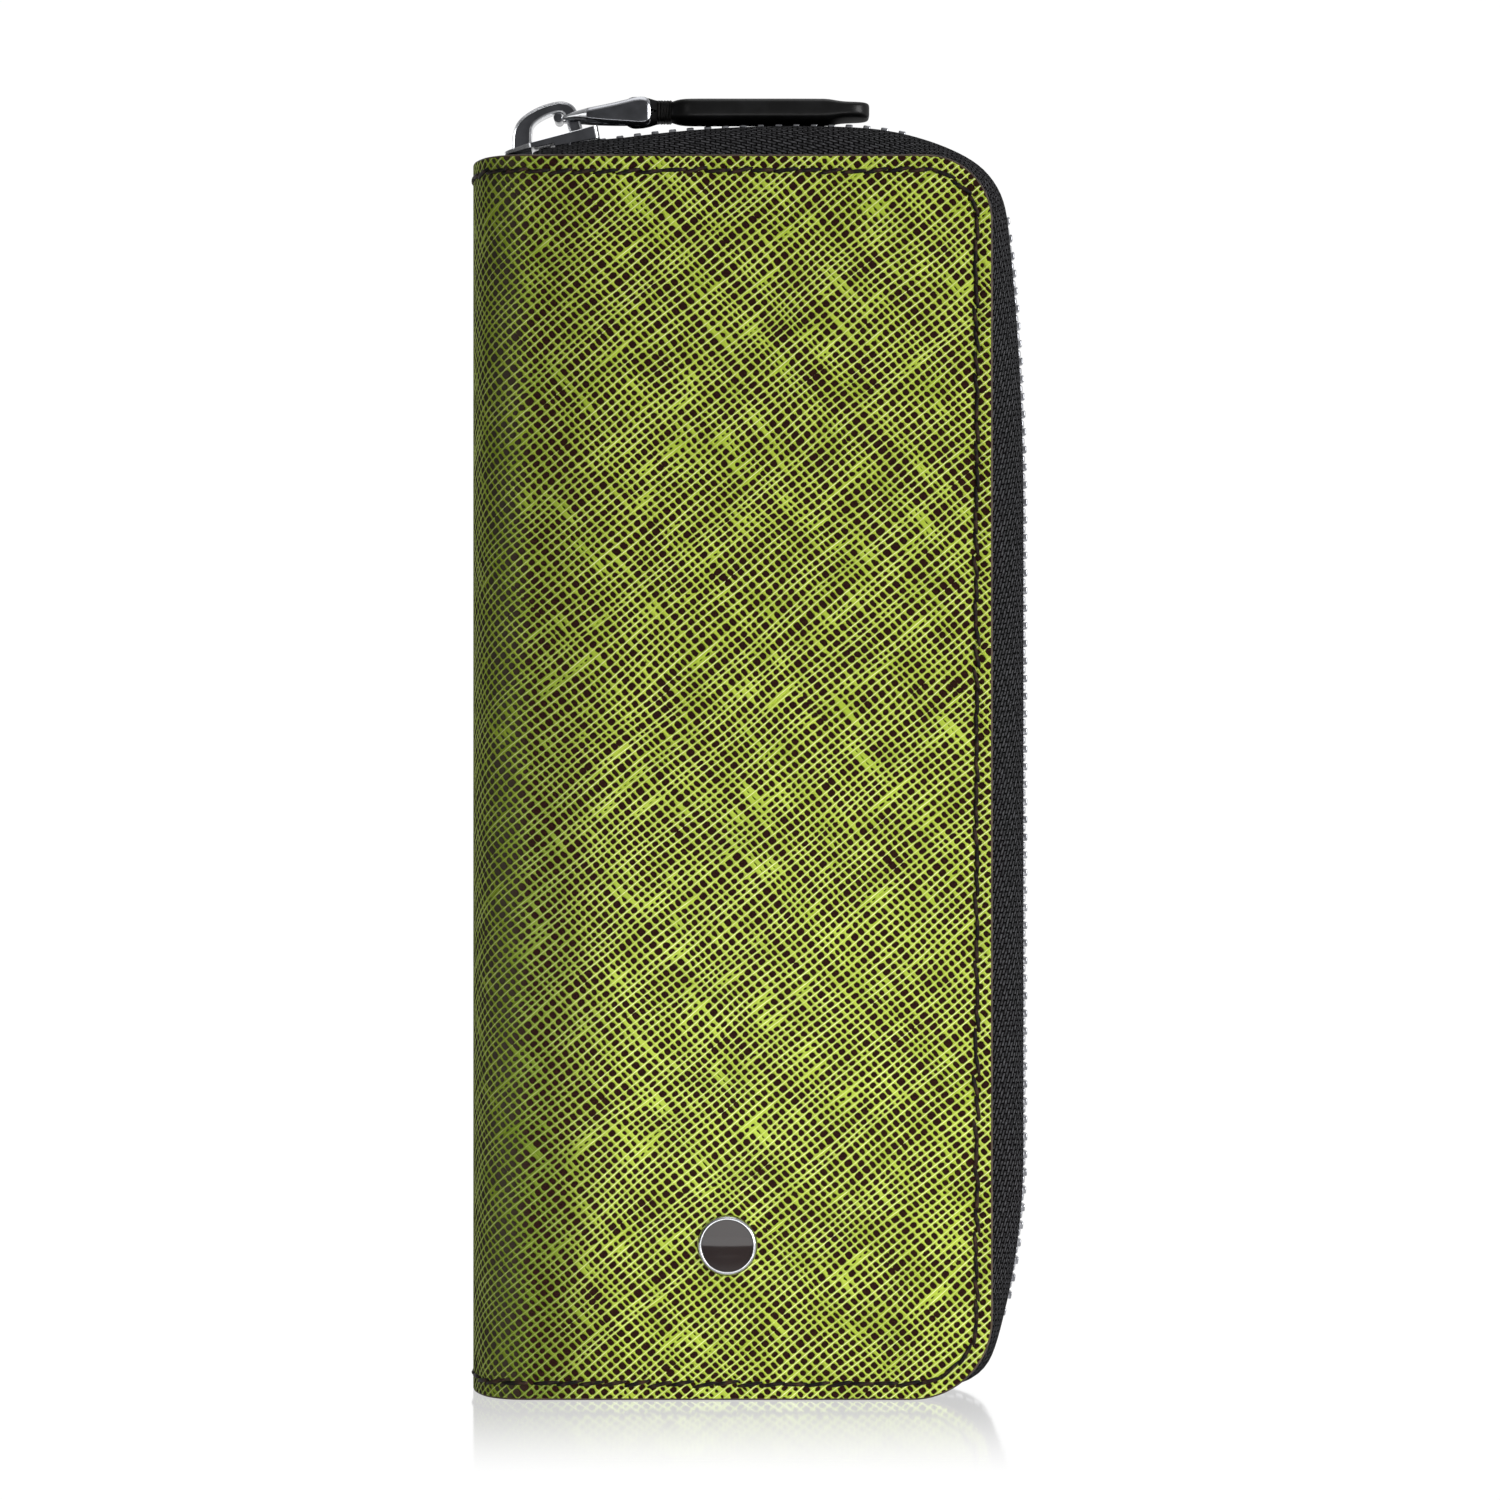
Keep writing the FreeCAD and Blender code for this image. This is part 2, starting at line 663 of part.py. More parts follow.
def tab_strap():
    """The strip: a loop round the pin, a bound neck, and the padded tongue."""
    inner = LINK_PIN_RADIUS + LINK_PIN_CLEARANCE
    outer = inner + STRAP
    half = strap_half()
    across = V(0, 1, 0)
    loop = Part.makeCylinder(outer, 2 * half, V(0, -half, 0), across)
    strands = [
        (0, -outer, 0),
        (NECK_START, TAB_RISE - NECK_HALF, 0),
        (NECK_START, TAB_RISE + NECK_HALF, 0),
        (0, outer, 0),
    ]
    gap = [(0, -inner, 0), (NECK_START - STRAP, TAB_RISE, 0), (0, inner, 0)]
    loop = loop.fuse(thick(rounded_face(strands, upright), half))
    loop = loop.cut(Part.makeCylinder(inner, 2 * half, V(0, -half, 0), across))
    loop = loop.cut(thick(rounded_face(gap, upright), half))
    neck_end = NECK_START + BINDING_LENGTH
    tip_end = TAB_LENGTH - TAB_TIP_LENGTH
    upper = [
        (NECK_START, NECK_HALF),
        (neck_end, NECK_HALF),
        (TAB_SHOULDER, TAB_THICKNESS / 2),
        (tip_end - TAB_TIP_SLOPE, TAB_THICKNESS / 2),
        (tip_end, TAB_TIP_THICKNESS / 2),
        (TAB_LENGTH, TAB_TIP_THICKNESS / 2),
    ]
    profile = [(a, TAB_RISE + b, 0) for a, b in upper]
    profile += [(a, TAB_RISE - b, 0) for a, b in reversed(upper)]
    half_plan = [
        (NECK_START, half, 0),
        (neck_end, half, 0),
        (TAB_SHOULDER, TAB_HALF, 0),
        (TAB_LENGTH, TAB_HALF, TAB_END_ROUND),
    ]
    plan = half_plan + [(a, -b, radius) for a, b, radius in reversed(half_plan)]
    tongue = thick(rounded_face(profile, upright), TAB_HALF)
    tongue = tongue.common(tall(rounded_face(plan, level), -TAB_THICKNESS, 2 * TAB_THICKNESS))
    return placed(loop.fuse(tongue).cut(tab_core()).removeSplitter(), tab_place())


def tab_binding():
    """The whipping of thread round the neck of the tab."""
    half = strap_half()
    wide = half + BINDING_THICKNESS
    high = NECK_HALF + BINDING_THICKNESS
    outline = [(-wide, -high), (wide, -high), (wide, high), (-wide, high)]
    hole = [(-half, -NECK_HALF), (half, -NECK_HALF), (half, NECK_HALF), (-half, NECK_HALF)]

    def across(point):
        return V(NECK_START, point.x, TAB_RISE + point.y)

    outer = rounded_face([(a, b, BINDING_ROUND) for a, b in outline], across)
    ring = outer.cut(rounded_face([(a, b, 0) for a, b in hole], across))
    return placed(ring.extrude(V(BINDING_LENGTH, 0, 0)), tab_place())


def badge_disc(radius, proud, thickness):
    """A round disc on the badge's axis, whose back is proud of the front cover's face."""
    middle = V(LEFT + BADGE_FROM_SPINE, -CASE_DEPTH / 2 - proud, BADGE_HEIGHT)
    return Part.makeCylinder(radius, thickness, middle, V(0, -1, 0))


def badge_legs(clearance):
    """The two legs of the badge, through the leather and the washer."""
    depth = LEATHER + WASHER_THICKNESS + clearance
    wide = BADGE_LEG_WIDTH + 2 * clearance
    slim = BADGE_LEG_THICKNESS + 2 * clearance
    legs = []
    for side in (-1, 1):
        x = LEFT + BADGE_FROM_SPINE + side * BADGE_LEG_SPREAD - slim / 2
        corner = V(x, -CASE_DEPTH / 2, BADGE_HEIGHT - wide / 2)
        legs.append(Part.makeBox(slim, depth, wide, corner))
    return legs[0].fuse(legs[1])


def badge_rim():
    """The metal cup of the badge and the legs that hold it."""
    radius = BADGE_DIAMETER / 2
    cup = badge_disc(radius, 0, BADGE_PROUD)
    cup = cup.cut(badge_disc(radius - BADGE_RIM, BADGE_BASE, BADGE_PROUD))
    return cup.fuse(badge_legs(0)).removeSplitter()


def badge_inlay():
    """The low dome of dark resin in the cup, left plain."""
    radius = BADGE_DIAMETER / 2 - BADGE_RIM
    height = BADGE_PROUD - BADGE_BASE
    ball = (radius**2 + BADGE_DOME**2) / (2 * BADGE_DOME)
    middle = V(LEFT + BADGE_FROM_SPINE, ball - CASE_DEPTH / 2 - BADGE_PROUD, BADGE_HEIGHT)
    return badge_disc(radius, BADGE_BASE, height).common(Part.makeSphere(ball, middle))


def badge_washer():
    """The plate behind the leather that the badge's legs are clenched through."""
    disc = badge_disc(WASHER_DIAMETER / 2, -LEATHER - WASHER_THICKNESS, WASHER_THICKNESS)
    return disc.cut(badge_legs(BADGE_LEG_CLEARANCE))


def front_board():
    """The front cover's board, with a hole for the badge's washer."""
    radius = WASHER_DIAMETER / 2 + WASHER_CLEARANCE
    return stiffener(FRONT).cut(badge_disc(radius, -LEATHER - BOARD, BOARD))


def sleeve_left(index):
    """The left edge of one pen sleeve; the sleeves stand side by side."""
    step = SLEEVE_BORE + 2 * (SLEEVE_WALL + SLEEVE_FLANGE) + SLEEVE_GAP
    return LEFT + SLEEVES_FROM_SPINE + index * step


def pen_sleeve(index):
    """A leather channel sewn to the back lining by its two flanges."""
    left = sleeve_left(index)
    wall = SLEEVE_WALL
    near = left + SLEEVE_FLANGE
    far = near + SLEEVE_BORE + 2 * wall
    seat = INNER_FACE
    crest = SLEEVE_CREST
    corners = [
        (left, seat, 0),
        (left, seat - wall, 0),
        (near, seat - wall, 0),
        (near, crest, SLEEVE_ROUND + wall),
        (far, crest, SLEEVE_ROUND + wall),
        (far, seat - wall, 0),
        (far + SLEEVE_FLANGE, seat - wall, 0),
        (far + SLEEVE_FLANGE, seat, 0),
        (far - wall, seat, 0),
        (far - wall, crest + wall, SLEEVE_ROUND),
        (near + wall, crest + wall, SLEEVE_ROUND),
        (near + wall, seat, 0),
    ]
    return tall(rounded_face(corners, level), SLEEVE_BASE, SLEEVE_LENGTH)


def sleeve_stitching():
    """The seams down the four flanges of the two sleeves."""
    threads = []
    across = 2 * SLEEVE_FLANGE + 2 * SLEEVE_WALL + SLEEVE_BORE
    for index in (0, 1):
        left = sleeve_left(index)
        for x in (left + INNER_SEAM_INSET, left + across - INNER_SEAM_INSET):
            run = line_run((x, SLEEVE_BASE + SLEEVE_LENGTH), (x, SLEEVE_BASE))
            points = spaced([run], STITCH_PITCH, STITCH_PITCH, STITCH_PITCH)
            threads.append(stitches_on(points, INNER_FACE - SLEEVE_WALL, FRONT))
    return Part.Compound([thread for row in threads for thread in row.Solids])


def front_pocket():
    """A flat slip pocket on the front lining, with a thumb notch in its mouth."""
    left = LEFT + POCKET_FROM_SPINE
    right = left + POCKET_WIDTH
    top = POCKET_BASE + POCKET_LENGTH
    corners = [
        (left, POCKET_BASE, POCKET_ROUND),
        (right, POCKET_BASE, POCKET_ROUND),
        (right, top, 0),
        (left, top, 0),
    ]
    sheet = layer(rounded_face(corners, upright), FRONT, CASE_DEPTH / 2 - INNER_FACE, POCKET_THICKNESS)
    middle = V((left + right) / 2, -CASE_DEPTH, top)
    notch = Part.makeCylinder(POCKET_NOTCH, CASE_DEPTH, middle, V(0, 1, 0))
    return sheet.cut(notch)


def pocket_stitching():
    """The seam round three sides of the slip pocket."""
    left = LEFT + POCKET_FROM_SPINE + INNER_SEAM_INSET
    right = LEFT + POCKET_FROM_SPINE + POCKET_WIDTH - INNER_SEAM_INSET
    base = POCKET_BASE + INNER_SEAM_INSET
    top = POCKET_BASE + POCKET_LENGTH
    path = [
        line_run((right, top), (right, base)),
        line_run((right, base), (left, base)),
        line_run((left, base), (left, top)),
    ]
    threads = []
    for run in path:
        points = spaced([run], STITCH_PITCH, STITCH_PITCH, STITCH_PITCH)
        threads += stitches_on(points, POCKET_THICKNESS - INNER_FACE, BACK).Solids
    return Part.Compound(threads)


PIECES = {
    "back_cover": cover(BACK),
    "back_board": stiffener(BACK),
    "back_lining": lining(BACK),
    "back_stitching": cover_stitching(BACK),
    "back_zip_tape": zip_tape(BACK),
    "back_zip_teeth": zip_teeth(BACK),
    "back_zip_stops": zip_stops(BACK),
    "left_pen_sleeve": pen_sleeve(0),
    "right_pen_sleeve": pen_sleeve(1),
    "sleeve_stitching": sleeve_stitching(),
    "spine_cover": spine_cover(),
    "spine_lining": spine_lining(),
    "spine_stitching": spine_stitching(),
    "front_cover": cover(FRONT).cut(badge_legs(BADGE_LEG_CLEARANCE)),
    "front_board": front_board(),
    "front_lining": lining(FRONT),
    "front_stitching": cover_stitching(FRONT),
    "front_zip_tape": zip_tape(FRONT),
    "front_zip_teeth": zip_teeth(FRONT),
    "front_zip_stops": zip_stops(FRONT),
    "front_pocket": front_pocket(),
    "pocket_stitching": pocket_stitching(),
    "badge_rim": badge_rim(),
    "badge_inlay": badge_inlay(),
    "badge_washer": badge_washer(),
    "slider_body": slider_body(),
    "slider_crown": slider_crown(),
    "pull_link": pull_link(),
    "tab_strap": tab_strap(),
    "tab_core": placed(tab_core(), tab_place()),
    "tab_binding": tab_binding(),
}

os.makedirs("parts", exist_ok=True)
for name, shape in PIECES.items():
    shape.exportStep(f"parts/{name}.step")
    print(name, "solids", len(shape.Solids), "volume", round(shape.Volume, 2), "valid", shape.isValid())

spine_length = sum(edge.Length for edge in spine_arcs(0)[0])
fold = FOLD_X - (spine_length - CASE_DEPTH) / 2
print("fold axes at x", round(fold, 3), "and y", CASE_DEPTH / 2, "either side")
print("slider axis", ARCH_CENTRE)
print("link axis", link_place().Base)
print("tab axis", tab_place().Base)
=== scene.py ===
# %% [markdown]
# # A zip-around case for two fountain pens
# The case is one leather wrap: two flat covers and a soft round spine, closed by a metal
# zip round the three open sides. Its construction is already there as solids, in metres.
# This lesson dresses them: hatched leather, thread, cloth tape, cast metal and suede.

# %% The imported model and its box
import json
import math
import random

import bmesh
import bpy
from mathutils import Matrix, Vector


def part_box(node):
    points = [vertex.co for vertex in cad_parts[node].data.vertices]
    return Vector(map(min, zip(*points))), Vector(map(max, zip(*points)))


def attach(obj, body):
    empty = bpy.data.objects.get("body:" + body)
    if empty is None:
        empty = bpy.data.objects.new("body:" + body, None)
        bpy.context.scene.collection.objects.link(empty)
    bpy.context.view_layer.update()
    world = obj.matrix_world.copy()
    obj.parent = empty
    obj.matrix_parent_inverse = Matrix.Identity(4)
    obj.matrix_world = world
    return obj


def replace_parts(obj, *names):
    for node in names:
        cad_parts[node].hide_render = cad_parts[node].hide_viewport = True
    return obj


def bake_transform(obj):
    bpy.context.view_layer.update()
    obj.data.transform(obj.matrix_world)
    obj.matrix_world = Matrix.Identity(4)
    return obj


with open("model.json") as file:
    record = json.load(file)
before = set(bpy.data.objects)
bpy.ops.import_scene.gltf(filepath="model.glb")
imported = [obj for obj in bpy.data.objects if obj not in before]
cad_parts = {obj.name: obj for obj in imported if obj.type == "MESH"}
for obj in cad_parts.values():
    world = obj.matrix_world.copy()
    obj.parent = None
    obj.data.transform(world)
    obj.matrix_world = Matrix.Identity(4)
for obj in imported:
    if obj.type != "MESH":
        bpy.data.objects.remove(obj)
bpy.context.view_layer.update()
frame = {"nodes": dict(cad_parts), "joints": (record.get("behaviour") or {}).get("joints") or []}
MM = 0.001
print("solids in the frame:", len(frame["nodes"]))

# %% [markdown]
# ## Sizes
# The covers' solids say where the leather is, so most places are read from their boxes.
# What a box can't say, such as the round of a corner, is written once here.

# %% Sizes of the leather
front_low, front_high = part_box("front_cover")
FOLD_X = front_low.x
EDGE_OVER = 0.4 * MM
RIGHT = front_high.x + EDGE_OVER
HEIGHT = front_high.z
OUTER = -front_low.y
LEATHER = front_high.y - front_low.y
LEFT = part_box("spine_cover")[0].x
TOP_CORNER = 8.6 * MM
BASE_CORNER = 10.4 * MM
SPINE_BEND = 6.5 * MM
SEAM_INSET = 2.1 * MM
FRONT = -1
BACK = 1
SIDES = {FRONT: "front", BACK: "back"}
NEAR = 1e-5
print("leather from", round(LEFT / MM, 2), "to", round(RIGHT / MM, 2), "mm across")

# %% [markdown]
# ## The camera
# The photograph looks straight at the front cover, level, from about half a metre away.
# The camera comes first, so that every later piece is judged in the same view.

# %% Camera
CAMERA_DISTANCE = 550 * MM
CAMERA_HEIGHT = 83.5 * MM
CAMERA_ASIDE = 0.1 * MM
VIEW_WIDTH = 192.6 * MM

camera_place = (CAMERA_ASIDE, -OUTER - CAMERA_DISTANCE, CAMERA_HEIGHT)
bpy.ops.object.camera_add(location=camera_place, rotation=(math.pi / 2, 0, 0))
camera = bpy.context.object
camera.data.lens = camera.data.sensor_width * CAMERA_DISTANCE / VIEW_WIDTH
bpy.context.scene.camera = camera
bpy.context.scene.view_settings.view_transform = "Standard"
print("lens", round(camera.data.lens, 1), "mm")

# %% [markdown]
# ## Shader arithmetic
# A finish is a network of nodes. Drawn by hand it is a tangle, so one small class wraps a
# socket: a sum or product of wrapped sockets adds a Math node, and every other node comes
# from one method that sets the node's own options first and then its inputs.


# %% A wire between nodes
class Wire:
    """One output of a node. Arithmetic on wires adds Math nodes to the same tree."""

    def __init__(self, tree, socket):
        self.tree = tree
        self.socket = socket

    def node(self, kind, sockets=None, output=0, **settings):
        """A new node with its options and inputs set, as a wire from one of its outputs."""
        made = self.tree.nodes.new("ShaderNode" + kind)
        for name, setting in settings.items():
            setattr(made, name, setting)
        for name, value in (sockets or {}).items():
            if isinstance(value, Wire):
                self.tree.links.new(value.socket, made.inputs[name])
            else:
                made.inputs[name].default_value = value
        return Wire(self.tree, made.outputs[output] if made.outputs else None)

    def maths(self, operation, first, second, third=0.0):
        """A Math node on wires or numbers."""
        return self.node("Math", {0: first, 1: second, 2: third}, operation=operation)

    def __add__(self, other):
        return self.maths("ADD", self, other)

    def __sub__(self, other):
        return self.maths("SUBTRACT", self, other)

    def __rsub__(self, other):
        return self.maths("SUBTRACT", other, self)

    def __mul__(self, other):
        return self.maths("MULTIPLY", self, other)

    __radd__ = __add__
    __rmul__ = __mul__

    def least(self, other, rounding):
        """The smaller of two wires, with a soft change from one to the other."""
        return self.maths("SMOOTH_MIN", self, other, rounding)

    def greatest(self, other):
        """The larger of two wires."""
        return self.maths("MAXIMUM", self, other)

    def size(self):
        """The value without its sign."""
        return self.maths("ABSOLUTE", self, 0.0)

    def part(self, index):
        """One part of a vector, by its index."""
        return self.node("SeparateXYZ", {0: self}, output=index)

    def ease(self, low, high):
        """From 0 at low to 1 at high, with soft ends."""
        ends = {"Value": self, "From Min": low, "From Max": high}
        return self.node("MapRange", ends, interpolation_type="SMOOTHSTEP")

    def mix(self, first, second):
        """The first colour where this wire is 0, the second where it is 1."""
        return self.node("Mix", {0: self, 6: first, 7: second}, output=2, data_type="RGBA")

    def noise(self, scale, detail=2.0):
        """Cloudy noise on this vector, about 0.5."""
        return self.node("TexNoise", {"Vector": self, "Scale": scale, "Detail": detail})

    def bump(self, depth, strength=1.0):
        """The normal of a surface with this height, from 0 to 1, times a depth in metres."""
        return self.node("Bump", {"Height": self, "Distance": depth, "Strength": strength})


def tint(code):
    """A colour as light, from the six hex digits that a screen shows."""
    shown = [int(code[at : at + 2], 16) / 255 for at in (0, 2, 4)]
    return [((part + 0.055) / 1.055) ** 2.4 for part in shown] + [1.0]


def finish(name, paint):
    """A material whose surface is what a paint function returns."""
    material = bpy.data.materials.new(name)
    material.use_nodes = True
    material.node_tree.nodes.clear()
    start = Wire(material.node_tree, None)
    start.node("OutputMaterial", {"Surface": paint(start)})
    return material


def object_place(start):
    """The place on a piece, in its own coordinates."""
    return start.node("TexCoord", output="Object")


def map_place(start, name):
    """The two coordinates of a named map, in millimetres."""
    place = start.node("UVMap", uv_map=name)
    return place.part(0) * (1 / MM), place.part(1) * (1 / MM)


def vector(first, second, third=0.0):
    """A vector from wires or numbers, of which the first is a wire."""
    return first.node("CombineXYZ", {0: first, 1: second, 2: third})


print("a tint of white:", tint("ffffff"))

# %% Clouded finishes
SOFT_CLOUDS = (0.3, 0.7)


def clouded(name, clouds, tints, rough, grain=None, span=SOFT_CLOUDS, metal=0.0, shine=0.5, sheen=0.0):
    """A finish that varies in clouds between two tints, as a plain real surface does.

    The clouds have a scale and a detail. The roughness has a swing with the clouds and a level.
    A grain is a bump: scale, detail, depth in millimetres and strength."""

    def paint(start):
        place = object_place(start)
        cloud = place.noise(*clouds)
        swing, level = rough
        sockets = {
            "Base Color": cloud.ease(*span).mix(tint(tints[0]), tint(tints[1])),
            "Metallic": metal,
            "Roughness": cloud * swing + level if swing else level,
            "Specular IOR Level": shine,
            "Sheen Weight": sheen,
        }
        if grain:
            scale, detail, depth, strength = grain
            sockets["Normal"] = place.noise(scale, detail).bump(depth * MM, strength)
        return start.node("BsdfPrincipled", sockets)

    return finish(name, paint)


print("clouds change tint between", *SOFT_CLOUDS)

# %% [markdown]
# ## The studio
# The photograph is a catalogue picture: pure white all round, a faint reflection below the
# case, a large soft light from the front and right, a low one in front, and a darker left
# side. More light would turn the ground white but bleach the green too, so the white comes
# from a floor and backdrop that glow by themselves.

# %% World and stage
SKY_LIGHT = 0.2
FRONT_LIGHT = 0.55
LEFT_SHADE = 0.8
FLOOR_SIZE = 4.0
BACKDROP_Y = 1.5
BACKDROP_RISE = 2.5
SWEEP_ROUND = 0.6
FLOOR_GLOW = 0.95
GLOW_STRENGTH = 1.05
FLOOR_BOUNCE = 0.3
FLOOR_MIRROR = 0.4
MIRROR_END = -75 * MM
MIRROR_HALF = 37 * MM
MIRROR_OVER = 47 * MM
DIM_FROM = -20 * MM
DIM_TO = -250 * MM


def seen_directly(start):
    """1 for what the camera shows, and 1 for what a mirror or a pane of glass shows."""
    camera_ray = start.node("LightPath", output="Is Camera Ray")
    glossy_ray = start.node("LightPath", output="Is Glossy Ray")
    clear_ray = start.node("LightPath", output="Is Transmission Ray")
    return camera_ray, glossy_ray.greatest(clear_ray)


def studio_floor(start):
    """White card, polished just in front of the case, where it gives a weak reflection."""
    in_camera, in_mirror = seen_directly(start)
    place = object_place(start)
    aside = place.part(0)
    ahead = place.part(1)
    shown = in_camera.greatest(in_mirror * ahead.ease(DIM_TO, DIM_FROM))
    glowing = shown * (FLOOR_GLOW - FLOOR_BOUNCE) + FLOOR_BOUNCE
    card = start.node("BsdfPrincipled", {"Base Color": tint("bdbdbd"), "Roughness": 0.6})
    glow = start.node("Emission", {"Color": tint("ffffff"), "Strength": GLOW_STRENGTH})
    lit = start.node("MixShader", {0: glowing, 1: card, 2: glow})
    polish = {"Base Color": tint("ffffff"), "Metallic": 1.0, "Roughness": 0.1}
    mirror = start.node("BsdfPrincipled", polish)
    near = aside.ease(-MIRROR_OVER, -MIRROR_HALF) * (1 - aside.ease(MIRROR_HALF, MIRROR_OVER))
    in_front = ahead.ease(MIRROR_END, -OUTER) * (1 - ahead.ease(OUTER, 3 * OUTER))
    return start.node("MixShader", {0: near * in_front * FLOOR_MIRROR, 1: lit, 2: mirror})


def studio_sky(start):
    """The room's light: bright from above and behind, dim from the camera and the left."""
    way = start.node("TexCoord", output="Generated")
    from_left = way.part(0).ease(-0.9, 0.1)
    from_behind = way.part(1).ease(-0.6, 0.4)
    from_above = way.part(2).ease(0.45, 0.95)
    level = from_behind.greatest(from_above) * SKY_LIGHT + FRONT_LIGHT
    return level * (1 - (1 - from_left) * LEFT_SHADE)


world = bpy.data.worlds.new("studio")
bpy.context.scene.world = world
world.use_nodes = True
world.node_tree.nodes.clear()
sky = Wire(world.node_tree, None)
white = sky.node("Background", {"Color": tint("ffffff"), "Strength": 1.0})
room = sky.node("Background", {"Color": tint("ffffff"), "Strength": studio_sky(sky)})
sky.node("OutputWorld", {0: sky.node("MixShader", {0: seen_directly(sky)[0], 1: room, 2: white})})

bpy.ops.object.select_all(action="DESELECT")
bpy.ops.mesh.primitive_plane_add(size=FLOOR_SIZE, location=(0, BACKDROP_Y - FLOOR_SIZE / 2, 0))
floor = bpy.context.object
floor.name = "studio_sweep"
bpy.ops.object.transform_apply()
bpy.ops.object.mode_set(mode="EDIT")
bpy.ops.mesh.select_mode(type="EDGE")
bpy.ops.mesh.select_all(action="DESELECT")
card = bmesh.from_edit_mesh(floor.data)
for edge in card.edges:
    edge.select_set(all(corner.co.y > BACKDROP_Y - NEAR for corner in edge.verts))
bpy.ops.mesh.extrude_region_move(TRANSFORM_OT_translate={"value": (0, 0, BACKDROP_RISE)})
bpy.ops.mesh.select_all(action="DESELECT")
for edge in bmesh.from_edit_mesh(floor.data).edges:
    edge.select_set(all(abs(c.co.y - BACKDROP_Y) + abs(c.co.z) < NEAR for c in edge.verts))
bpy.ops.mesh.bevel(offset=SWEEP_ROUND, segments=16)
bpy.ops.object.mode_set(mode="OBJECT")
bpy.ops.object.shade_smooth()
floor.data.materials.append(finish("studio_card", studio_floor))

# %% Lamps
# Each lamp has a place, a target, a width, a height and a power. Only a gloss shows the two
# cards: one gives the badge's dome its light upper half, the other lights the nose of the pull.
AIM = Vector((0, 0, HEIGHT / 2))
LAMPS = {
    "key": ((0.92, -0.62, 0.26), AIM, 0.6, 0.6, 13.2),
    "top": ((0.05, 0.15, 0.95), AIM, 0.6, 0.6, 2.6),
    "low": ((-0.004, -0.1, 0.008), AIM, 0.02, 0.02, 0.05),
    "badge_card": ((-0.005, -0.18, 0.036), (-0.005, 0.0, 0.036), 0.16, 0.072, 0.17),
    "nose_card": ((-0.2, -0.25, 0.215), (-0.023, 0.0, 0.166), 0.09, 0.09, 0.05),
}
for name, (place, target, wide, tall, power) in LAMPS.items():
    bpy.ops.object.light_add(type="AREA", location=place)
    lamp = bpy.context.object
    lamp.name = name
    lamp.data.shape = "RECTANGLE"
    lamp.data.size = wide
    lamp.data.size_y = tall
    lamp.data.energy = power
    lamp.rotation_euler = (Vector(target) - Vector(place)).to_track_quat("-Z", "Y").to_euler()
    lamp.visible_glossy = name != "low"
    lamp.visible_diffuse = not name.endswith("card")
    lamp.visible_camera = False
print("lamps:", ", ".join(LAMPS))

# %% [markdown]
# ## Tools for the hand work
# Pieces are modelled as at the bench: add a primitive, select by place or by normal, push,
# pull and bevel. An operator acts on everything selected, so each tool deselects first.


# %% Modelling tools
def alone(piece):
    """Makes a piece the only selected one and the active one."""
    bpy.ops.object.select_all(action="DESELECT")
    piece.select_set(True)
    bpy.context.view_layer.objects.active = piece


def named(name):
    """Names the piece that was just added and sets its place down in its mesh."""
    piece = bpy.context.object
    piece.name = name
    piece.data.name = name
    bpy.ops.object.transform_apply(location=True, rotation=True, scale=True)
    return piece


def started(name, primitive, scale=(1, 1, 1), **options):
    """Adds a primitive with nothing else selected, stretches it and names it."""
    bpy.ops.object.select_all(action="DESELECT")
    primitive(**options)
    bpy.context.object.scale = scale
    return named(name)


def pick(piece, kind, test):
    """In edit mode, selects the corners, edges or faces that pass a test."""
    bpy.ops.mesh.select_mode(type=kind)
    bpy.ops.mesh.select_all(action="DESELECT")
    drawing = bmesh.from_edit_mesh(piece.data)
    drawing.normal_update()
    parts = {"VERT": drawing.verts, "EDGE": drawing.edges, "FACE": drawing.faces}[kind]
    chosen = [part for part in parts if test(part)]
    for part in chosen:
        part.select_set(True)
    drawing.select_flush_mode()
    bmesh.update_edit_mesh(piece.data)
    return len(chosen)


def edit(piece):
    """Opens a piece in edit mode with all of it selected."""
    alone(piece)
    bpy.ops.object.mode_set(mode="EDIT")
    bpy.ops.mesh.select_mode(type="VERT")
    bpy.ops.mesh.select_all(action="SELECT")


def done(piece):
    """Closes edit mode."""
    bpy.ops.object.mode_set(mode="OBJECT")
    return piece


def applied(piece, kind, **settings):
    """Adds a modifier with these settings and applies it."""
    alone(piece)
    modifier = piece.modifiers.new(kind.lower(), kind)
    for name, setting in settings.items():
        setattr(modifier, name, setting)
    bpy.ops.object.modifier_apply(modifier=modifier.name)
    return piece


def eased(piece, width, segments, angle=30, **options):
    """Rounds over the edges that are sharper than an angle in degrees."""
    limit = {"limit_method": "ANGLE", "angle_limit": math.radians(angle)}
    return applied(piece, "BEVEL", width=width, segments=segments, **limit, **options)


def smooth(piece, angle=35):
    """Shades a piece smooth, but for edges sharper than an angle in degrees."""
    alone(piece)
    bpy.ops.object.shade_smooth_by_angle(angle=math.radians(angle))
    return piece


def draw(name, points, filled):
    """A line drawn by pulling one corner from point to point, closed with a face or left open."""
    piece = started(name, bpy.ops.mesh.primitive_plane_add, size=MM, location=points[0])
    edit(piece)
    bpy.ops.mesh.merge(type="CENTER")
    for before, after in zip(points, points[1:]):
        step = Vector(after) - Vector(before)
        bpy.ops.mesh.extrude_region_move(TRANSFORM_OT_translate={"value": step})
    bpy.ops.mesh.select_all(action="SELECT")
    if filled:
        bpy.ops.mesh.edge_face_add()
    return done(piece)


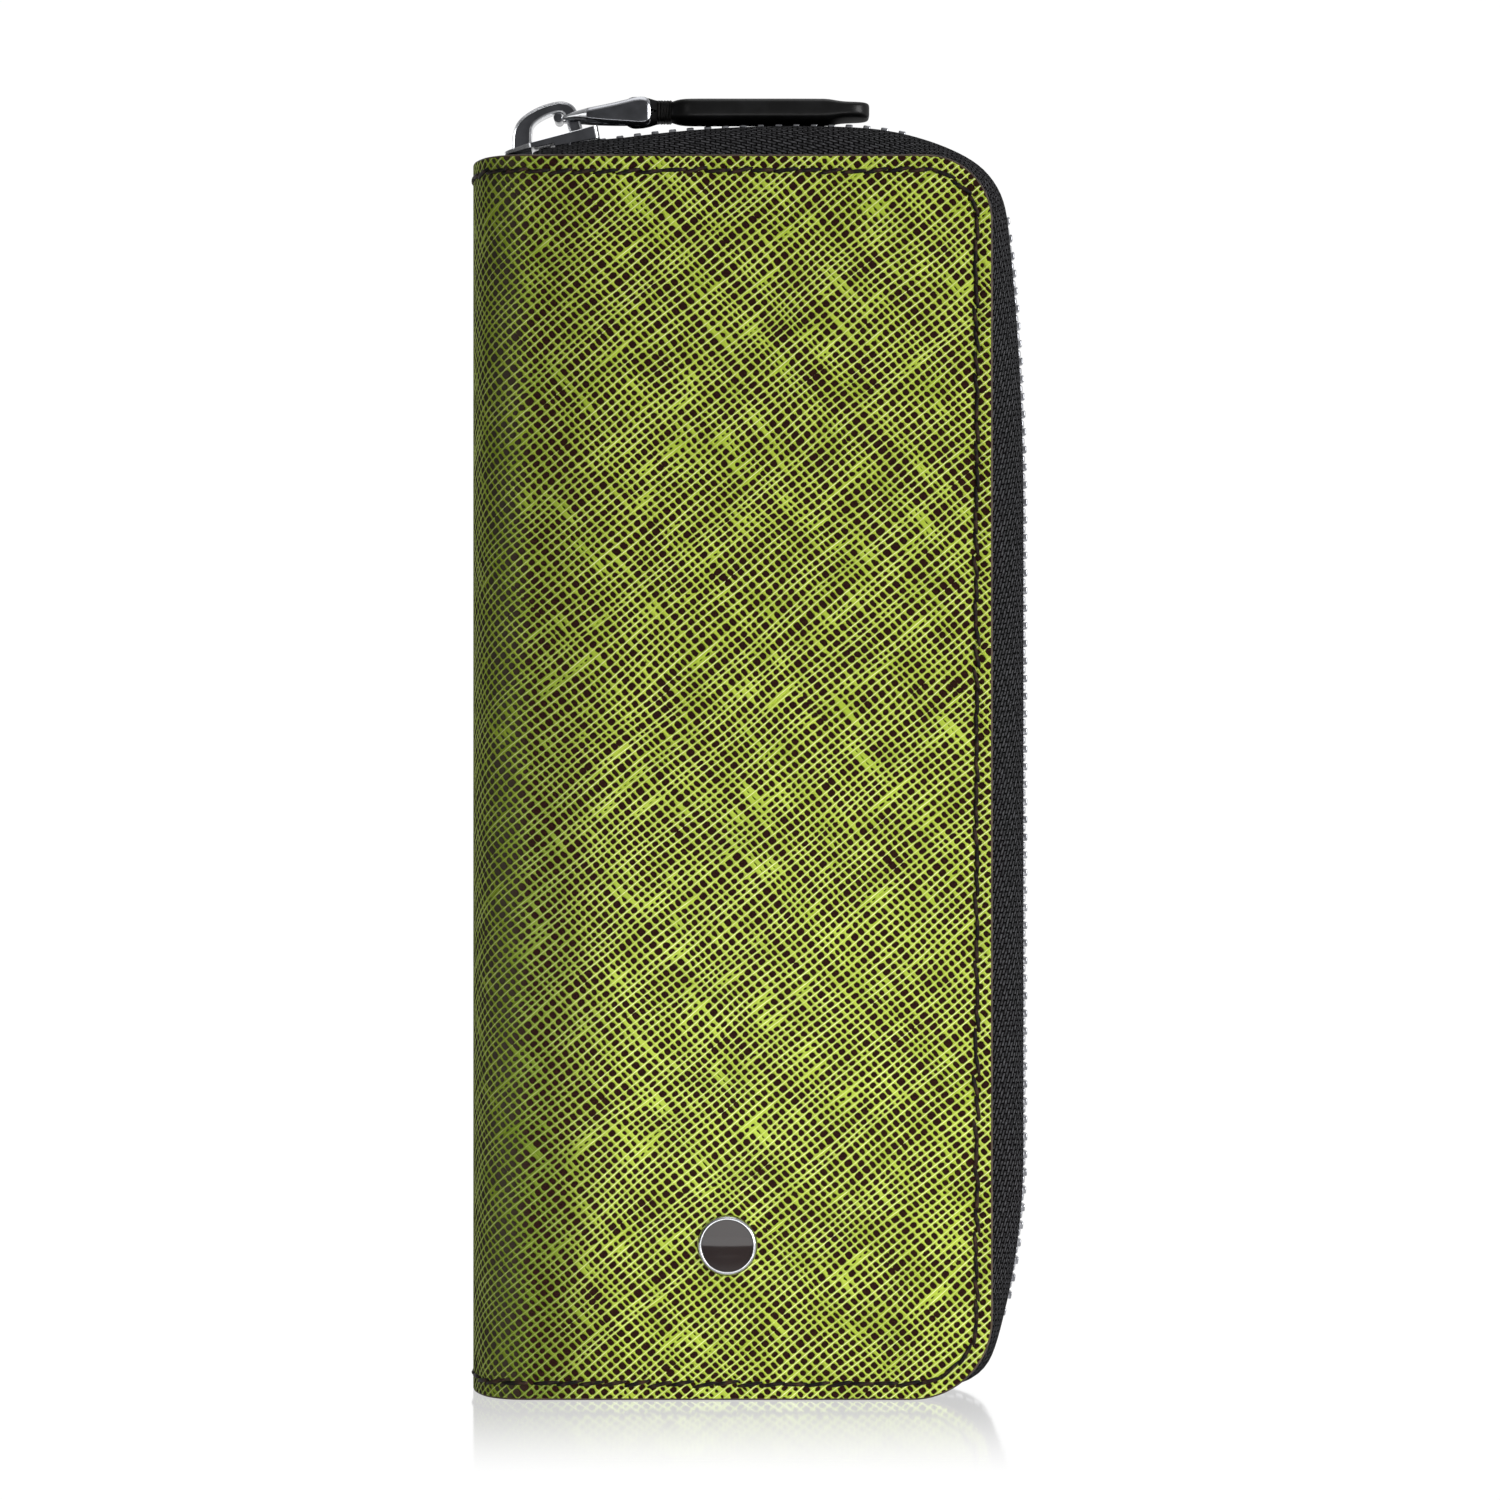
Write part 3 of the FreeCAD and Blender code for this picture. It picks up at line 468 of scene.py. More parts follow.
def woven_grid(name, columns, rows, place):
    """A grid of corners, each moved to place(column, row)."""
    steps = {"x_subdivisions": columns - 1, "y_subdivisions": rows - 1}
    piece = started(name, bpy.ops.mesh.primitive_grid_add, size=1, **steps)
    for corner in piece.data.vertices:
        column = round((corner.co.x + 0.5) * (columns - 1))
        row = round((corner.co.y + 0.5) * (rows - 1))
        corner.co = place(column, row)
    return piece


def closed_tube(piece):
    """Joins the edges of a rolled or spun skin, closes its ends and turns it right side out."""
    edit(piece)
    bpy.ops.mesh.remove_doubles(threshold=NEAR / 10)
    bpy.ops.mesh.fill_holes(sides=0)
    bpy.ops.mesh.select_all(action="SELECT")
    bpy.ops.mesh.normals_make_consistent(inside=False)
    return done(piece)


def facing_front(piece):
    """Turns an open skin so that its broad face looks to the front."""
    edit(piece)
    bpy.ops.mesh.normals_make_consistent(inside=False)
    done(piece)
    if min(face.normal.y for face in piece.data.polygons) > -0.5:
        piece.data.flip_normals()
    return piece


def copied(name, model, places):
    """One piece made of copies of a model, each set down by its own matrix."""
    drawing = bmesh.new()
    for place in places:
        copy = model.data.copy()
        copy.transform(place)
        drawing.from_mesh(copy)
        bpy.data.meshes.remove(copy)
    mesh = bpy.data.meshes.new(name)
    drawing.to_mesh(mesh)
    drawing.free()
    piece = bpy.data.objects.new(name, mesh)
    bpy.context.scene.collection.objects.link(piece)
    return piece


def discard(model):
    """Removes a model once its copies are made."""
    bpy.data.objects.remove(model)


def dressed(piece, slot, *materials):
    """Gives a piece its finishes. The name of its material slot is not used."""
    piece.data.materials.clear()
    for material in materials:
        piece.data.materials.append(material)
    return piece


print("modelling tools ready")

# %% [markdown]
# ## The hatched leather
# The calf is pressed with two slanting sets of fine ridges. The dye stays on the ridges,
# lime green, and the pits between them show dark brown. The ridges are uneven: spacing
# varies, lines wander and meet, and some strips are not pressed at all. One-dimensional
# cells give such uneven lines, and the pits lie where both sets of lines are far away. The
# pattern lives on a map of the unrolled hide, so it runs on from cover to spine to cover.
# Light is painted into its colour too: highlights along the rising ridges, shade over the
# spine and near the two folds, and a grey-brown reflection in the pits on the spine.

# %% The unrolled hide
SPINE_REACH = FOLD_X - LEFT
BEND_HALF = OUTER - SPINE_BEND
WIDE = (SPINE_REACH**2 + BEND_HALF**2 - SPINE_BEND**2) / (2 * (SPINE_REACH - SPINE_BEND))
TURN = math.atan2(BEND_HALF, WIDE - SPINE_REACH)
HALF_GIRTH = SPINE_BEND * (math.pi / 2 - TURN) + WIDE * TURN


def hide_place(point):
    """Where a point of the wrap lies on the flat hide, from the front fold and the base."""
    if point.x >= FOLD_X - NEAR:
        past_fold = FOLD_X - point.x
    else:
        swing = math.atan2(abs(point.y), LEFT + WIDE - point.x)
        if swing <= TURN:
            past_fold = HALF_GIRTH - WIDE * swing
        else:
            past_fold = SPINE_BEND * math.atan2(FOLD_X - point.x, abs(point.y) - BEND_HALF)
    across = -past_fold if point.y < 0 else past_fold - 2 * HALF_GIRTH
    return across, point.z


def mapped(piece, name, place):
    """Gives a piece a map whose two coordinates come from each corner's place."""
    layer = piece.data.uv_layers.new(name=name)
    corners = piece.data.vertices
    for loop, spot in zip(piece.data.loops, layer.data):
        spot.uv = place(corners[loop.vertex_index].co)
    return piece


print("girth of the spine", round(2 * HALF_GIRTH / MM, 2), "mm")

# %% The leather's finish
# Each set of ridges has a slant in degrees, a pitch in millimetres and a seed. The widths of a
# ridge are shares of its pitch.
RIDGES = {"rising": (39.0, 0.96, 3.7), "falling": (-48.5, 1.0, 41.3)}
RIDGE_UNEVEN = 0.72
RIDGE_WANDER = 1.5
RIDGE_HALF = 0.145
RIDGE_BROADER = 0.24
BROAD_PRESS = (0.60, 0.78)
RIDGE_FAINTER = 0.15
FAINT_PRESS = (0.22, 0.36)
# Half the width of the painted highlight along the rising ridges, as a share of the pitch.
HIGHLIGHT_HALF = 0.085
# The pits: how ragged and how open they are, how round, and where their rim and slope lie.
PIT_RAGGED = 0.2
PIT_OPEN = 0.035
PIT_ROUND = 0.5
PIT_RIM = (-0.02, 0.05)
PIT_SLOPE = (-0.16, 0.14)
PRESS_DEPTH = 0.15 * MM
# The painted shade over the spine and near a fold: its reach in millimetres on the spine
# and on the cover, and its share low on the case, at the top and in the middle of the spine.
PAINTED_SHADE_BEFORE = 10.0
PAINTED_SHADE_AFTER = 13.0
PAINTED_SHADE_LOW = 0.76
PAINTED_SHADE_TOP = 0.5
PAINTED_SHADE_SPINE = 0.4
PAINTED_SHADE_RISE = (20.0, 140.0)
FOLD_HALF = 1.0
# Where the painted reflection that greys the spine's pits fades out, in millimetres from the fold.
HAZE_FADE = (-4.0, 1.5)


def ridge_lines(across, upward, angle, pitch, seed):
    """How far each spot lies outside the nearest ridge of one set and from its middle, in pitches."""
    turn = math.radians(angle)
    along = across * math.cos(turn) + upward * math.sin(turn)
    aside = upward * math.cos(turn) - across * math.sin(turn)
    wander = vector(along * 0.05, aside * 0.12, seed).noise(1.0, 1.0) - 0.5
    count = (aside + wander * RIDGE_WANDER) * (1 / pitch) + seed
    cells = {"W": count, "Scale": 1.0, "Randomness": RIDGE_UNEVEN}
    options = {"voronoi_dimensions": "1D", "feature": "DISTANCE_TO_EDGE"}
    distance = count.node("TexVoronoi", cells, **options)
    press = vector(along * 0.17, count * 0.55, seed).noise(1.0, 1.0)
    broader = press.ease(*BROAD_PRESS) * RIDGE_BROADER
    fainter = (1 - press.ease(*FAINT_PRESS)) * RIDGE_FAINTER
    half_width = broader - fainter + RIDGE_HALF
    return distance - half_width, distance


def hatched_leather(start):
    """Lime ridges, dark brown pits and a polish on the ridges, with painted highlights, shade and
    reflection.
    """
    across, upward = map_place(start, "hide")
    spot = vector(across, upward)
    rising, rising_middle = ridge_lines(across, upward, *RIDGES["rising"])
    falling = ridge_lines(across, upward, *RIDGES["falling"])[0]
    ragged = (spot.noise(2.4, 4.0) - 0.5) * PIT_RAGGED + PIT_OPEN
    clear = rising.least(falling, PIT_ROUND) + ragged
    pit = clear.ease(*PIT_RIM)
    # Painted highlight: a cream line along the middle of each rising ridge, stronger in patches.
    highlight_patches = spot.noise(0.25, 2.0).ease(0.3, 0.65) * 0.55 + 0.25
    painted_highlight = (1 - rising_middle.ease(0.0, HIGHLIGHT_HALF)) * (1 - pit) * highlight_patches
    # Painted shade: the colour darkens over the spine and near both folds, more low on the case than
    # at the top.
    fold = HALF_GIRTH / MM
    from_spine = (across + fold).size()
    shade_toward_fold = from_spine.ease(fold - PAINTED_SHADE_BEFORE, fold - FOLD_HALF) * (1 - PAINTED_SHADE_SPINE) + PAINTED_SHADE_SPINE
    shade_round_folds = shade_toward_fold * (1 - from_spine.ease(fold + FOLD_HALF, fold + PAINTED_SHADE_AFTER))
    painted_shade = shade_round_folds * (upward.ease(*PAINTED_SHADE_RISE) * (PAINTED_SHADE_TOP - PAINTED_SHADE_LOW) + PAINTED_SHADE_LOW)
    # Painted reflection: the pits on the spine show grey-brown instead of dark brown.
    painted_haze_on_spine = 1 - from_spine.ease(fold + HAZE_FADE[0], fold + HAZE_FADE[1])
    cloud = spot.noise(0.16, 3.0)
    lime = cloud.ease(*SOFT_CLOUDS).mix(tint("8fa232"), tint("a1b340"))
    # The painted shade darkens the lime and the painted highlights to olive.
    shaded_lime = painted_shade.mix(lime, tint("3f5410"))
    ridge = painted_highlight.mix(shaded_lime, painted_shade.mix(tint("ebecbb"), tint("7f8c3c")))
    speck = spot.noise(5.0, 2.0).ease(0.35, 0.75)
    brown = painted_haze_on_spine.mix(speck.mix(tint("1d100d"), tint("301b17")), tint("39332a"))
    colour = pit.mix(ridge, brown)
    relief = (1 - clear.ease(*PIT_SLOPE)) + spot.noise(6.0, 3.0) * 0.06
    sockets = {
        "Base Color": colour,
        "Roughness": pit * 0.2 + spot.noise(1.2, 2.0) * 0.12 + 0.36,
        "Specular IOR Level": 0.0,
        "Coat Weight": (1 - pit) * 0.12,
        "Coat Roughness": 0.32,
        "Normal": relief.bump(PRESS_DEPTH),
    }
    return start.node("BsdfPrincipled", sockets)


# The cut edge is rubbed with brown paint by hand. The inner side is rough and dyed black.
LEATHER_FINISH = finish("hatched_leather", hatched_leather)
hand_paint = {"rough": (0.2, 0.4), "shine": 0.15, "grain": (2500.0, 2.0, 0.03, 0.5)}
EDGE_FINISH = clouded("edge_paint", (400.0, 3.0), ("2e251e", "4d4034"), **hand_paint)
rough_side = {"rough": (0.0, 0.9), "shine": 0.2, "grain": (3000.0, 2.0, 0.05, 0.6)}
FLESH_FINISH = clouded("flesh_side", (200.0, 3.0), ("211e1c", "302b28"), **rough_side)
HIDE_FINISHES = (LEATHER_FINISH, EDGE_FINISH, FLESH_FINISH)
print("leather nodes:", len(LEATHER_FINISH.node_tree.nodes))

# %% [markdown]
# ## The two covers
# Each cover starts as a plane. Bevelled corners give its outline, three insets press the
# valley that the seam lies in, a cut at the fold takes away the spare strip, and Solidify
# gives the leather its thickness. The outer edge is rounded over and painted.

# %% Covers
SPARE = 12 * MM
VALLEY_HALF = 0.5 * MM
VALLEY_DEPTH = 0.2 * MM
EDGE_ROUND = 0.24 * MM


def rounded_panel(name, left, right, base, top, y, side, radii):
    """A flat panel with its two corners at the right rounded, by a radius below and above."""
    middle = ((left + right) / 2, y, (base + top) / 2)
    upright = {"size": 1, "location": middle, "rotation": (-side * math.pi / 2, 0, 0)}
    scale = (right - left, top - base, 1)
    piece = started(name, bpy.ops.mesh.primitive_plane_add, scale, **upright)
    edit(piece)
    for height, radius in zip((base, top), radii):
        pick(piece, "VERT", lambda v: v.co.x > right - NEAR and abs(v.co.z - height) < NEAR)
        bpy.ops.mesh.bevel(offset=radius, offset_type="OFFSET", segments=18, affect="VERTICES")
    return done(piece)


def cover_leather(name, side):
    """The leather of one cover, from the fold to the zip side."""
    radii = (BASE_CORNER, TOP_CORNER)
    piece = rounded_panel(name, FOLD_X - SPARE, RIGHT, 0, HEIGHT, side * OUTER, side, radii)
    edit(piece)
    bpy.ops.mesh.inset(thickness=SEAM_INSET - VALLEY_HALF)
    bpy.ops.mesh.inset(thickness=VALLEY_HALF, depth=-VALLEY_DEPTH)
    bpy.ops.mesh.inset(thickness=VALLEY_HALF, depth=VALLEY_DEPTH)
    bpy.ops.mesh.select_all(action="SELECT")
    bpy.ops.mesh.bisect(plane_co=(FOLD_X, 0, 0), plane_no=(1, 0, 0), clear_inner=True)
    done(piece)
    dressed(piece, "green_leather", *HIDE_FINISHES)
    sides = {"material_offset": 2, "material_offset_rim": 1}
    applied(piece, "SOLIDIFY", thickness=LEATHER, offset=-1, **sides)
    edit(piece)

    def on_rim(edge):
        outside = all(abs(corner.co.y) > OUTER - NEAR for corner in edge.verts)
        at_fold = all(corner.co.x < FOLD_X + NEAR for corner in edge.verts)
        return outside and not at_fold and any(abs(f.normal.y) < 0.5 for f in edge.link_faces)

    pick(piece, "EDGE", on_rim)
    bpy.ops.mesh.bevel(offset=EDGE_ROUND, segments=4, material=1)
    done(piece)
    smooth(mapped(piece, "hide", hide_place))
    return piece


for side, word in SIDES.items():
    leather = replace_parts(cover_leather(word + "_leather", side), word + "_cover")
    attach(leather, word + "_half")
    print(leather.name, "faces", len(leather.data.polygons))

# %% [markdown]
# ## The spine
# The spine is the same hide, turned round the pens. Its section through the leather, valley
# and rounded edges included, is drawn once at the fold and spun: a tight bend first, then
# the shallow round to the middle. The two halves meet there.

# %% Spine
BEND_STEPS = 16
WIDE_STEPS = 10


def spine_section(side):
    """The leather's section at the fold, from the base up the outside and down the inside."""
    round_in = EDGE_ROUND * (1 - math.sqrt(0.5))
    half = [
        (EDGE_ROUND, 0),
        (round_in, round_in),
        (0, EDGE_ROUND),
        (0, SEAM_INSET - VALLEY_HALF),
        (VALLEY_DEPTH, SEAM_INSET),
        (0, SEAM_INSET + VALLEY_HALF),
    ]
    outside = half + [(sunk, HEIGHT - z) for sunk, z in reversed(half)]
    section = outside + [(LEATHER, HEIGHT), (LEATHER, 0)]
    return [Vector((FOLD_X, side * (OUTER - sunk), z)) for sunk, z in section]


def spun_spine(name, side, section):
    """A section at the fold, spun round the bend and on to the middle of the spine."""
    piece = draw(name, section, filled=True)
    edit(piece)
    bpy.ops.mesh.delete(type="ONLY_FACE")
    bpy.ops.mesh.select_all(action="SELECT")
    bend = {"steps": BEND_STEPS, "angle": -side * (math.pi / 2 - TURN)}
    bpy.ops.mesh.spin(center=(FOLD_X, side * BEND_HALF, 0), axis=(0, 0, 1), **bend)
    wide = {"steps": WIDE_STEPS, "angle": -side * TURN}
    bpy.ops.mesh.spin(center=(LEFT + WIDE, 0, 0), axis=(0, 0, 1), **wide)
    return closed_tube(done(piece))


def over_fold(piece, side):
    """Bakes the place of a half of the spine into its mesh, the same for either side."""
    if side == FRONT:
        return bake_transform(piece)
    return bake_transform(piece)


for side, word in SIDES.items():
    spine = spun_spine(word + "_spine_leather", side, spine_section(side))
    dressed(spine, "green_leather", *HIDE_FINISHES)
    for face in spine.data.polygons:
        at_edge = abs(face.center.z - HEIGHT / 2) > HEIGHT / 2 - EDGE_ROUND
        inside = face.normal.x * face.center.x + face.normal.y * face.center.y < 0
        face.material_index = 1 if at_edge else 2 if inside else 0
    smooth(mapped(spine, "hide", hide_place))
    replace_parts(spine, "spine_cover")
    over_fold(spine, side)
    low = min(corner.co.x for corner in spine.data.vertices)
    print(spine.name, "reaches", round(low / MM, 2), "mm, faces", len(spine.data.polygons))

# %% [markdown]
# ## The seam
# Waxed thread holds the zip tape between leather and lining. It shows as a row of short
# stitches, each diving into its hole at both ends and leaning a little, as a lock stitch
# does. One stitch is modelled and copied along the edge, never quite in line.

# %% Paths round the case
STITCH_PITCH = 2.9 * MM


def line_run(start, end):
    """A straight run of a path, as its length and a function of the share along it."""
    heading = math.atan2(start[1] - end[1], end[0] - start[0])

    def at(share):
        x = start[0] + (end[0] - start[0]) * share
        z = start[1] + (end[1] - start[1]) * share
        return x, z, heading

    return math.dist(start, end), at


def arc_run(centre, radius, first, last):
    """A round run of a path, clockwise seen from the front, between two headings."""

    def at(share):
        heading = first + (last - first) * share
        x = centre[0] + radius * math.sin(heading)
        z = centre[1] + radius * math.cos(heading)
        return x, z, heading

    return radius * (last - first), at


def cover_path(inset, left):
    """Along the edge of a cover, from the spine over the top and round to the base."""
    quarter = math.pi / 2
    top_middle = (RIGHT - TOP_CORNER, HEIGHT - TOP_CORNER)
    base_middle = (RIGHT - BASE_CORNER, BASE_CORNER)
    return [
        line_run((left, HEIGHT - inset), (top_middle[0], HEIGHT - inset)),
        arc_run(top_middle, TOP_CORNER - inset, 0, quarter),
        line_run((RIGHT - inset, top_middle[1]), (RIGHT - inset, BASE_CORNER)),
        arc_run(base_middle, BASE_CORNER - inset, quarter, math.pi),
        line_run((base_middle[0], inset), (left, inset)),
    ]


def walk(path, pitch, offset):
    """Places at an even pitch along a path, each as (x, z, heading)."""
    total = sum(length for length, at in path)
    places = []
    for index in range(int((total - 2 * offset) / pitch) + 1):
        ahead = offset + index * pitch
        for length, at in path:
            if ahead <= length:
                places.append(at(ahead / length))
                break
            ahead -= length
    return places


def set_down(place, along, outward):
    """The matrix that lays a model's x along a heading and its z outward, at a place."""
    turn = Matrix((along, outward.cross(along), outward)).transposed().to_4x4()
    return Matrix.Translation(place) @ turn


seam_places = walk(cover_path(SEAM_INSET, FOLD_X), STITCH_PITCH, STITCH_PITCH / 2)
print("seam places on a cover:", len(seam_places))

# %% Thread and one stitch
STITCH_LENGTH = 3.3 * MM
STITCH_DIVE = 0.16 * MM
STITCH_THIN = 0.35
STITCH_FLAT = 0.3
STITCH_LEAN = math.radians(7)
STITCH_STRAY = math.radians(8)
STITCH_ASIDE = 0.16 * MM
THREAD_HALF = 0.27 * MM
THREAD_SUNK = 0.04 * MM

# Black-brown thread, with lighter fibres where the wax has rubbed off.
waxed = {"rough": (0.0, 0.6), "shine": 0.12, "grain": (4000.0, 2.0, 0.05, 0.6), "span": (0.4, 0.8)}
THREAD_FINISH = clouded("waxed_thread", (1100.0, 2.0), ("0a0706", "3a291d"), **waxed)


def stitch_model():
    """One stitch along x: a short round thread whose ends thin out and dive."""
    lying = {"radius": THREAD_HALF, "depth": STITCH_LENGTH, "rotation": (0, math.pi / 2, 0)}
    model = started("stitch_model", bpy.ops.mesh.primitive_cylinder_add, vertices=8, **lying)
    edit(model)
    pick(model, "EDGE", lambda e: abs(e.verts[0].co.x - e.verts[1].co.x) > STITCH_LENGTH / 2)
    bpy.ops.mesh.subdivide(number_cuts=4)
    done(model)
    for corner in model.data.vertices:
        share = abs(corner.co.x) / (STITCH_LENGTH / 2)
        corner.co.y *= 1 - STITCH_THIN * share**4
        corner.co.z *= 1 - STITCH_FLAT * share**4
        corner.co.z -= STITCH_DIVE * share**3
    return smooth(model, 80)


def seam(name, places):
    """A row of stitches at (place, along, outward), each leaning and straying a little."""
    hand = random.Random(name)
    model = stitch_model()
    matrices = []
    for place, along, outward in places:
        lean = Matrix.Rotation(STITCH_LEAN + hand.uniform(-STITCH_STRAY, STITCH_STRAY), 4, "Z")
        aside = Matrix.Translation((0, hand.uniform(-STITCH_ASIDE, STITCH_ASIDE), 0))
        matrices.append(set_down(place, along, outward) @ aside @ lean)
    row = copied(name, model, matrices)
    discard(model)
    return dressed(row, "seam_thread", THREAD_FINISH)


def flat_seam(name, path, y, side, offset=STITCH_PITCH / 2):
    """A seam along a path on a flat face."""
    places = []
    for x, z, heading in walk(path, STITCH_PITCH, offset):
        along = Vector((math.cos(heading), 0, -math.sin(heading)))
        places.append((Vector((x, y, z)), along, Vector((0, side, 0))))
    return seam(name, places)


for side, word in SIDES.items():
    path = cover_path(SEAM_INSET, FOLD_X)
    row = flat_seam(word + "_seam", path, side * (OUTER - THREAD_SUNK), side)
    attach(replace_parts(row, word + "_stitching"), word + "_half")
    print(row.name, "faces", len(row.data.polygons))


# %% Seam across the spine
def spine_place(past_fold, sunk, side):
    """A point of the spine's section, its heading away from the fold, and its outward side."""
    bend_length = SPINE_BEND * (math.pi / 2 - TURN)
    if past_fold <= bend_length:
        swing = past_fold / SPINE_BEND
        outward = Vector((-math.sin(swing), side * math.cos(swing), 0))
        place = Vector((FOLD_X, side * BEND_HALF, 0)) + outward * (SPINE_BEND - sunk)
    else:
        swing = (HALF_GIRTH - past_fold) / WIDE
        outward = Vector((-math.cos(swing), side * math.sin(swing), 0))
        place = Vector((LEFT + WIDE, 0, 0)) + outward * (WIDE - sunk)
    along = Vector((-abs(outward.y), side * outward.x, 0)).normalized()
    return place, along, outward


SPINE_STITCHES = int(HALF_GIRTH / STITCH_PITCH)
for side, word in SIDES.items():
    places = []
    for height in (SEAM_INSET, HEIGHT - SEAM_INSET):
        for index in range(SPINE_STITCHES):
            past_fold = (index + 0.5) * HALF_GIRTH / SPINE_STITCHES
            place, along, outward = spine_place(past_fold, THREAD_SUNK, side)
            places.append((place + Vector((0, 0, height)), along, outward))
    row = seam(word + "_spine_seam", places)
    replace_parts(row, "spine_stitching")
    over_fold(row, side)
    print(row.name, "stitches", len(places))

# %% [markdown]
# ## The zip tapes
# Each tape is a strip of black twill, sewn under the edge of its leather. It leans out and
# up to the chain in the middle, and folds over to lie flat beside the teeth. A grid laid
# along the edge, with its cross section given once, makes the strip; Solidify and
# Subdivision make it cloth.

# %% The chain's path
CHAIN_BASE = 1.3 * MM
TEETH_LEFT = LEFT + 12.5 * MM
ARCH_RADIUS = 160 * MM
CREST_ASIDE = 42 * MM
CREST_RISE = 4.55 * MM
ARCH_CREST = Vector((LEFT + CREST_ASIDE, 0, HEIGHT + CREST_RISE))
# Each turn has a radius in millimetres and the heading in degrees that it ends at.
UPPER_TURNS = [(160, 3.0), (33.7, 17.6), (33.7, 28.0), (9.7, 83.6), (347, 90)]
LOWER_TURNS = [(89, 104), (89, 107), (5.6, 180)]


def bent_runs(centre, first, turns):
    """Round runs that follow on smoothly, each given as a radius in mm and a last heading."""
    runs = []
    before = turns[0][0] * MM
    for radius, last in turns:
        shift = before - radius * MM
        centre = (centre[0] + shift * math.sin(first), centre[1] + shift * math.cos(first))
        runs.append(arc_run(centre, radius * MM, first, math.radians(last)))
        first = math.radians(last)
        before = radius * MM
    return runs


def joined(*runs):
    """Several runs as one."""
    total = sum(length for length, at in runs)

    def at(share):
        ahead = share * total
        for length, place in runs:
            if ahead <= length + NEAR:
                return place(min(1, ahead / length))
            ahead -= length

    return total, at


def chain_path(left):
    """Along the middle of the zip chain, in the same five runs as the cover's edge."""
    first = math.asin((left - ARCH_CREST.x) / ARCH_RADIUS)
    upper = bent_runs((ARCH_CREST.x, ARCH_CREST.z - ARCH_RADIUS), first, UPPER_TURNS)
    side_x, side_top, heading = upper[-1][1](1)
    wide = LOWER_TURNS[0][0] * MM
    tight = LOWER_TURNS[-1][0] * MM
    side_base = CHAIN_BASE + tight - (wide - tight) * math.cos(math.radians(LOWER_TURNS[-2][1]))
    lower = bent_runs((side_x - wide, side_base), math.pi / 2, LOWER_TURNS)
    side = line_run((side_x, side_top), (side_x, side_base))
    return [
        joined(upper[0], upper[1]),
        joined(upper[2], upper[3]),
        joined(upper[4], side, lower[0]),
        joined(lower[1], lower[2]),
        line_run(lower[2][1](1)[:2], (left, CHAIN_BASE)),
    ]


CHAIN_LENGTH = sum(length for length, at in chain_path(TEETH_LEFT))
print("chain length", round(CHAIN_LENGTH / MM, 1), "mm")

# %% Tapes
TAPE_LEFT = LEFT + 8 * MM
TAPE = 0.3 * MM
TAPE_SUNK = 0.03 * MM
SLOT_END = -17 * MM
SLOT_OVER = 2.5 * MM
SLOT_LIFT = 0.26 * MM
TAPE_FLANGE = 5 * MM
TAPE_BEND = 0.7 * MM
TAPE_FLAT = 4.6 * MM
TAPE_EDGE = 0.9 * MM
TAPE_WIDTH = 15 * MM
TAPE_STEP = 2 * MM
TAPE_BULGE = 0.25 * MM
TAPE_WALL = [(0.25, 0.4), (0.5, 0.9), (0.75, 0.8), (0.93, 0.3)]
RIB = 0.52
DASH = 1.3
SLANT = 0.36
WEAVE_DEPTH = 0.2 * MM


def black_twill(start):
    """Ribs along the tape, each of short slanting floats of black yarn."""
    along, across = map_place(start, "weave")
    laid = vector(along, across + along * SLANT)
    bond = {"Vector": laid, "Scale": 1.0, "Mortar Size": 0.13, "Mortar Smooth": 0.7}
    bond.update({"Brick Width": DASH, "Row Height": RIB})
    gap = start.node("TexBrick", bond, output="Fac")
    yarn = laid.noise(2.2, 2.0)
    tone = yarn.ease(0.35, 0.7).mix(tint("242425"), tint("444446"))
    sockets = {
        "Base Color": gap.mix(tone, tint("080808")),
        "Roughness": 0.8,
        "Specular IOR Level": 0.0,
        "Normal": (1 - gap + yarn * 0.4).bump(WEAVE_DEPTH),
    }
    return start.node("BsdfPrincipled", sockets)


TWILL_FINISH = finish("black_twill", black_twill)


def tape_stations():
    """Pairs of places on the chain and on the leather's edge, with the way out of the case."""
    stations = []
    for chain, cover in zip(chain_path(TAPE_LEFT), cover_path(0, TAPE_LEFT)):
        steps = round(chain[0] / TAPE_STEP)
        for step in range(1 if stations else 0, steps + 1):
            chain_x, chain_z = chain[1](step / steps)[:2]
            edge_x, edge_z, heading = cover[1](step / steps)
            out = Vector((math.sin(heading), 0, math.cos(heading)))
            stations.append((Vector((chain_x, 0, chain_z)), Vector((edge_x, 0, edge_z)), out))
    return stations


def tape_section(chain, edge, out):
    """The tape's outer face from the sewn flange to the teeth, as (distance from middle, place)."""
    under = OUTER - LEATHER
    half = TAPE / 2
    bend = min(0, (chain - edge).dot(out)) - TAPE_BEND + half
    foot = edge + out * bend
    lift = max(0, min(1, (SLOT_END - chain.x) / SLOT_OVER)) if chain.z > HEIGHT else 0
    ridge = chain + out * (half - TAPE_SUNK + lift * SLOT_LIFT)
    section = [(under, edge - out * TAPE_FLANGE), (under, (edge - out * TAPE_FLANGE + foot) / 2)]
    section.append((under, foot))
    for share, swell in TAPE_WALL:
        away = under + (TAPE_FLAT - under) * share
        section.append((away, foot.lerp(ridge, share) + out * swell * TAPE_BULGE))
    for away in (TAPE_FLAT - half, (TAPE_FLAT + TAPE_EDGE) / 2, TAPE_EDGE):
        section.append((away, ridge))
    return section


